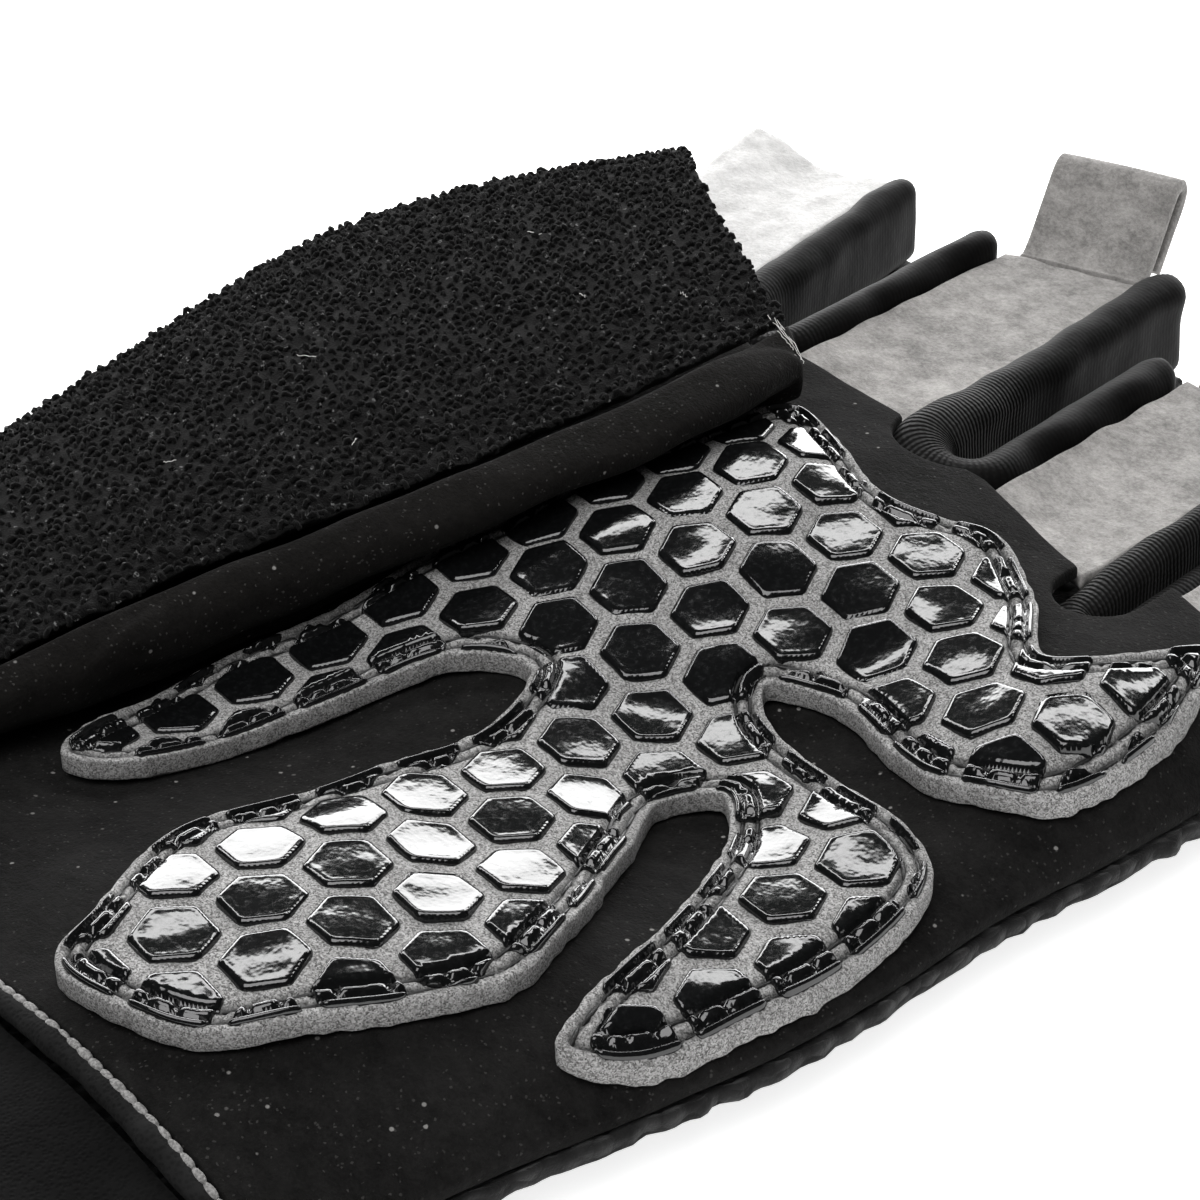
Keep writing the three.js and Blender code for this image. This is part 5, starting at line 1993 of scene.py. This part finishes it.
@dataclass
class Wrist:
    """Cuff, the seam that joins it to the palm, and its closing strap."""

    form: Form
    radius: float = 0.9
    sink: float = 0.25
    cuff_start: float = -0.2
    clear: float = 1.2
    cuff_length: float = 40.0
    cuff_wall: float = 1.8
    cuff_height: float = 12.5
    folds_from: float = 6.0
    squareness: float = 3.2
    strap_thickness: float = 1.5
    strap_gap: float = 0.48
    strap_start: float = 12.0
    strap_width: float = 24.0
    strap_turn: tuple[float, float] = (-115.0, 80.0)
    # place along the cuff, thumb's edge, little finger's edge, top
    table: tuple = (
        (0.00, -0.415, 0.365, 1.00), (0.35, -0.405, 0.355, 0.96),
        (0.70, -0.400, 0.35, 0.97), (1.00, -0.405, 0.355, 1.02),
    )

    def point(self, share: Array, angle: Array, offset: Union[float, Array]) -> Array:
        """Points of the cuff at shares of its length and angles round it, moved outwards."""
        left = along(self.table, 1, share) * self.form.width - offset
        right = along(self.table, 2, share) * self.form.width + offset
        base = self.strap_thickness + self.strap_gap - offset
        top = along(self.table, 3, share) * self.cuff_height + offset
        across, up = rounded_square(angle, self.squareness)
        x = left + (right - left) * (across + 1) / 2
        z = base + (top - base) * (up + 1) / 2
        start = self.form.wrist_seam(x) - self.clear
        y = start * (1 - share) + (self.cuff_start - self.cuff_length) * share
        return np.stack([x, y, z], -1)

    def cuff(self, finishes: Finishes) -> None:
        """Makes the cuff as one closed ring of cloth."""
        around, lengthwise = 150, 60
        angle = np.linspace(0, 360, around, endpoint=False)
        share = np.linspace(0, 1, lengthwise)
        a, s = np.meshgrid(angle, share, indexing="ij")
        folds = Ripple(61, 12.0, 0.16)
        outer = self.point(s, a, 0.0)
        soft = folds.at(outer[..., 0], outer[..., 1])
        outer[..., 2] += np.where(outer[..., 2] > self.folds_from, soft, 0.0)
        edge = [(-0.25, 0.0), (-0.9, -0.12), (-1.55, 0.0)]
        rings = [outer[:, lengthwise - 1 - k] for k in range(lengthwise)]
        rings += [self.point(s[:, 0], a[:, 0], off) + [0, -push, 0] for off, push in edge]
        inner = self.point(s, a, -self.cuff_wall)
        rings += [inner[:, k] for k in range(lengthwise)]
        rings += [self.point(s[:, -1], a[:, -1], off) + [0, push, 0] for off, push in reversed(edge)]
        grid = np.array(rings)
        faces = strip_faces(len(grid), around, True)
        last = (len(grid) - 1) * around
        for j in range(around):
            k = (j + 1) % around
            faces.append((last + j, last + k, k, j))
        solid = Solid(grid.reshape(-1, 3), faces)
        place_closed(solid, "cuff_cloth", finishes.cuff, "cuff_cloth", "wrist_cuff")

    def strap(self, finishes: Finishes) -> None:
        """Makes the closing strap."""
        start = self.strap_start / self.cuff_length
        share = np.linspace(start, start + self.strap_width / self.cuff_length, 40)
        a, s = np.meshgrid(np.linspace(*self.strap_turn, 130), share, indexing="ij")
        solid = wall(self.point(s, a, self.strap_gap + self.strap_thickness),
                     self.point(s, a, self.strap_gap))
        place_closed(solid, "strap_cloth", finishes.cuff, "cuff_cloth", "wrist_strap")

    def piping(self, finishes: Finishes) -> None:
        """Makes the seam's roll and the thread that crosses it."""
        left = float(self.form.side(Column.THUMB, np.array(0.0)))
        right = float(self.form.side(Column.LITTLE, np.array(0.0)))
        x = np.linspace(left + 0.05 * (right - left), right - 0.05 * (right - left), 160)
        y = self.form.wrist_seam(x)
        z = self.form.palm(x, y) - self.sink
        sides = 18
        angle = np.linspace(0, 2 * math.pi, sides, endpoint=False)
        lumps = Ripple(63, 3.0, 0.06)
        rings = [np.column_stack([np.full(sides, x[i]), y[i] + r * np.cos(angle), z[i] + r * np.sin(angle)])
                 for i, r in enumerate(self.radius + lumps.at(x, y))]
        place_closed(Solid(*tube(np.array(rings))), "seam_roll", finishes.seam, "piping", "wrist_piping")
        run = np.column_stack([x, y + 0.62 * self.radius, z + 0.72 * self.radius])
        stitches = Stitching("seam_thread", 1.35, 1.6, 0.8, 0.62, seed=7)
        settle(stitches.sew([run], False, finishes.grey_thread), "piping")

    def dress(self, finishes: Finishes) -> None:
        """Makes the wrist end."""
        self.cuff(finishes)
        self.strap(finishes)
        self.piping(finishes)


@dataclass
class Studio:
    """Pale floor, soft white light and the camera."""

    # Camera place in the glove's frame in millimetres, and the ways it looks and has to its right
    eye: tuple[float, float, float] = (160.6, -88.7, 154.1)
    forward: tuple[float, float, float] = (-0.6051, 0.5882, -0.5366)
    right: tuple[float, float, float] = (0.7069, 0.7069, -0.0223)
    lens: float = 96.0
    sensor: float = 36.0
    azimuth: float = 45.8
    floor_size: float = 2.0
    surroundings: float = 0.04
    # Name, degrees round from the camera, degrees up, metres away, width and height, radiance
    lamps: tuple = (
        ("low_card_behind", 180, 14.0, 1.15, (2.2, 0.52), 9.0),
        ("slit_card_behind", 180, 48.0, 1.15, (2.2, 0.16), 10.0),
        ("overhead_front", -20, 62.0, 1.1, (0.9, 0.9), 5.2),
    )

    def camera(self) -> None:
        """Makes the camera at the photograph's angle."""
        data = bpy.data.cameras.new("camera")
        data.lens = self.lens
        data.sensor_width = self.sensor
        data.clip_start = 0.005
        data.clip_end = 20.0
        thing = shown("camera", data)
        forward = Vector(self.forward).normalized()
        right = Vector(self.right)
        right = (right - forward * right.dot(forward)).normalized()
        up = right.cross(forward)
        place = (Vector(self.eye) + Vector(OFFSET)) / 1000.0
        turn = Matrix((right, up, -forward)).transposed()
        thing.matrix_world = Matrix.Translation(place) @ turn.to_4x4()
        bpy.context.scene.camera = thing

    def floor(self, finishes: Finishes) -> None:
        """Makes the pale floor."""
        mesh = bpy.data.meshes.new("floor")
        corners = [(x * self.floor_size, y * self.floor_size, -0.0002) for x, y in
                   ((-1, -1), (1, -1), (1, 1), (-1, 1))]
        mesh.from_pydata(corners, [], [(0, 1, 2, 3)])
        mesh.materials.append(finishes.floor)
        shown("floor", mesh)

    def lamp(self, name: str, azimuth: float, elevation: float, away: float,
             size: tuple[float, float], radiance: float) -> None:
        """One rectangular soft light, aimed at the glove.

        Args:
            name: Its name.
            azimuth: Degrees from -Y towards +X, seen from above.
            elevation: Degrees over the floor.
            away: Metres from the glove.
            size: Width and height in metres.
            radiance: Brightness of its face, where a white surface in full light has 1.
        """
        data = bpy.data.lights.new(name, "AREA")
        data.shape = "RECTANGLE"
        data.size, data.size_y = size
        data.energy = radiance * math.pi * size[0] * size[1]
        thing = shown(name, data)
        a, e = math.radians(azimuth), math.radians(elevation)
        place = Vector((math.sin(a) * math.cos(e), -math.cos(a) * math.cos(e), math.sin(e))) * away
        thing.location = place
        thing.rotation_euler = (-place).to_track_quat("-Z", "Y").to_euler()

    def light(self) -> None:
        """Makes the lights and the dim surroundings."""
        world = bpy.data.worlds.new("surroundings")
        world.use_nodes = True
        background = world.node_tree.nodes["Background"]
        background.inputs["Color"].default_value = (1, 1, 1, 1)
        background.inputs["Strength"].default_value = self.surroundings
        bpy.context.scene.world = world
        for name, turn, elevation, away, size, radiance in self.lamps:
            self.lamp(name, self.azimuth + turn, elevation, away, size, radiance)
        bpy.context.scene.view_settings.view_transform = "Standard"

    def build(self, finishes: Finishes) -> None:
        """Makes the whole studio."""
        self.camera()
        self.floor(finishes)
        self.light()


def main() -> None:
    """Builds the glove's pieces in order, then the studio."""
    logging.basicConfig(level=logging.INFO, format="%(name)s: %(message)s")
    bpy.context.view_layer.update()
    form = Form()
    finishes = Finishes()
    grip = GripPatch(form)
    for part in (Palm(form), Back(form), grip, FingerPanels(form), Fourchettes(), PullTabs(),
                 Thumb(form, grip), Wrist(form)):
        part.dress(finishes)
    Studio().build(finishes)


if __name__ == "__main__":
    main()
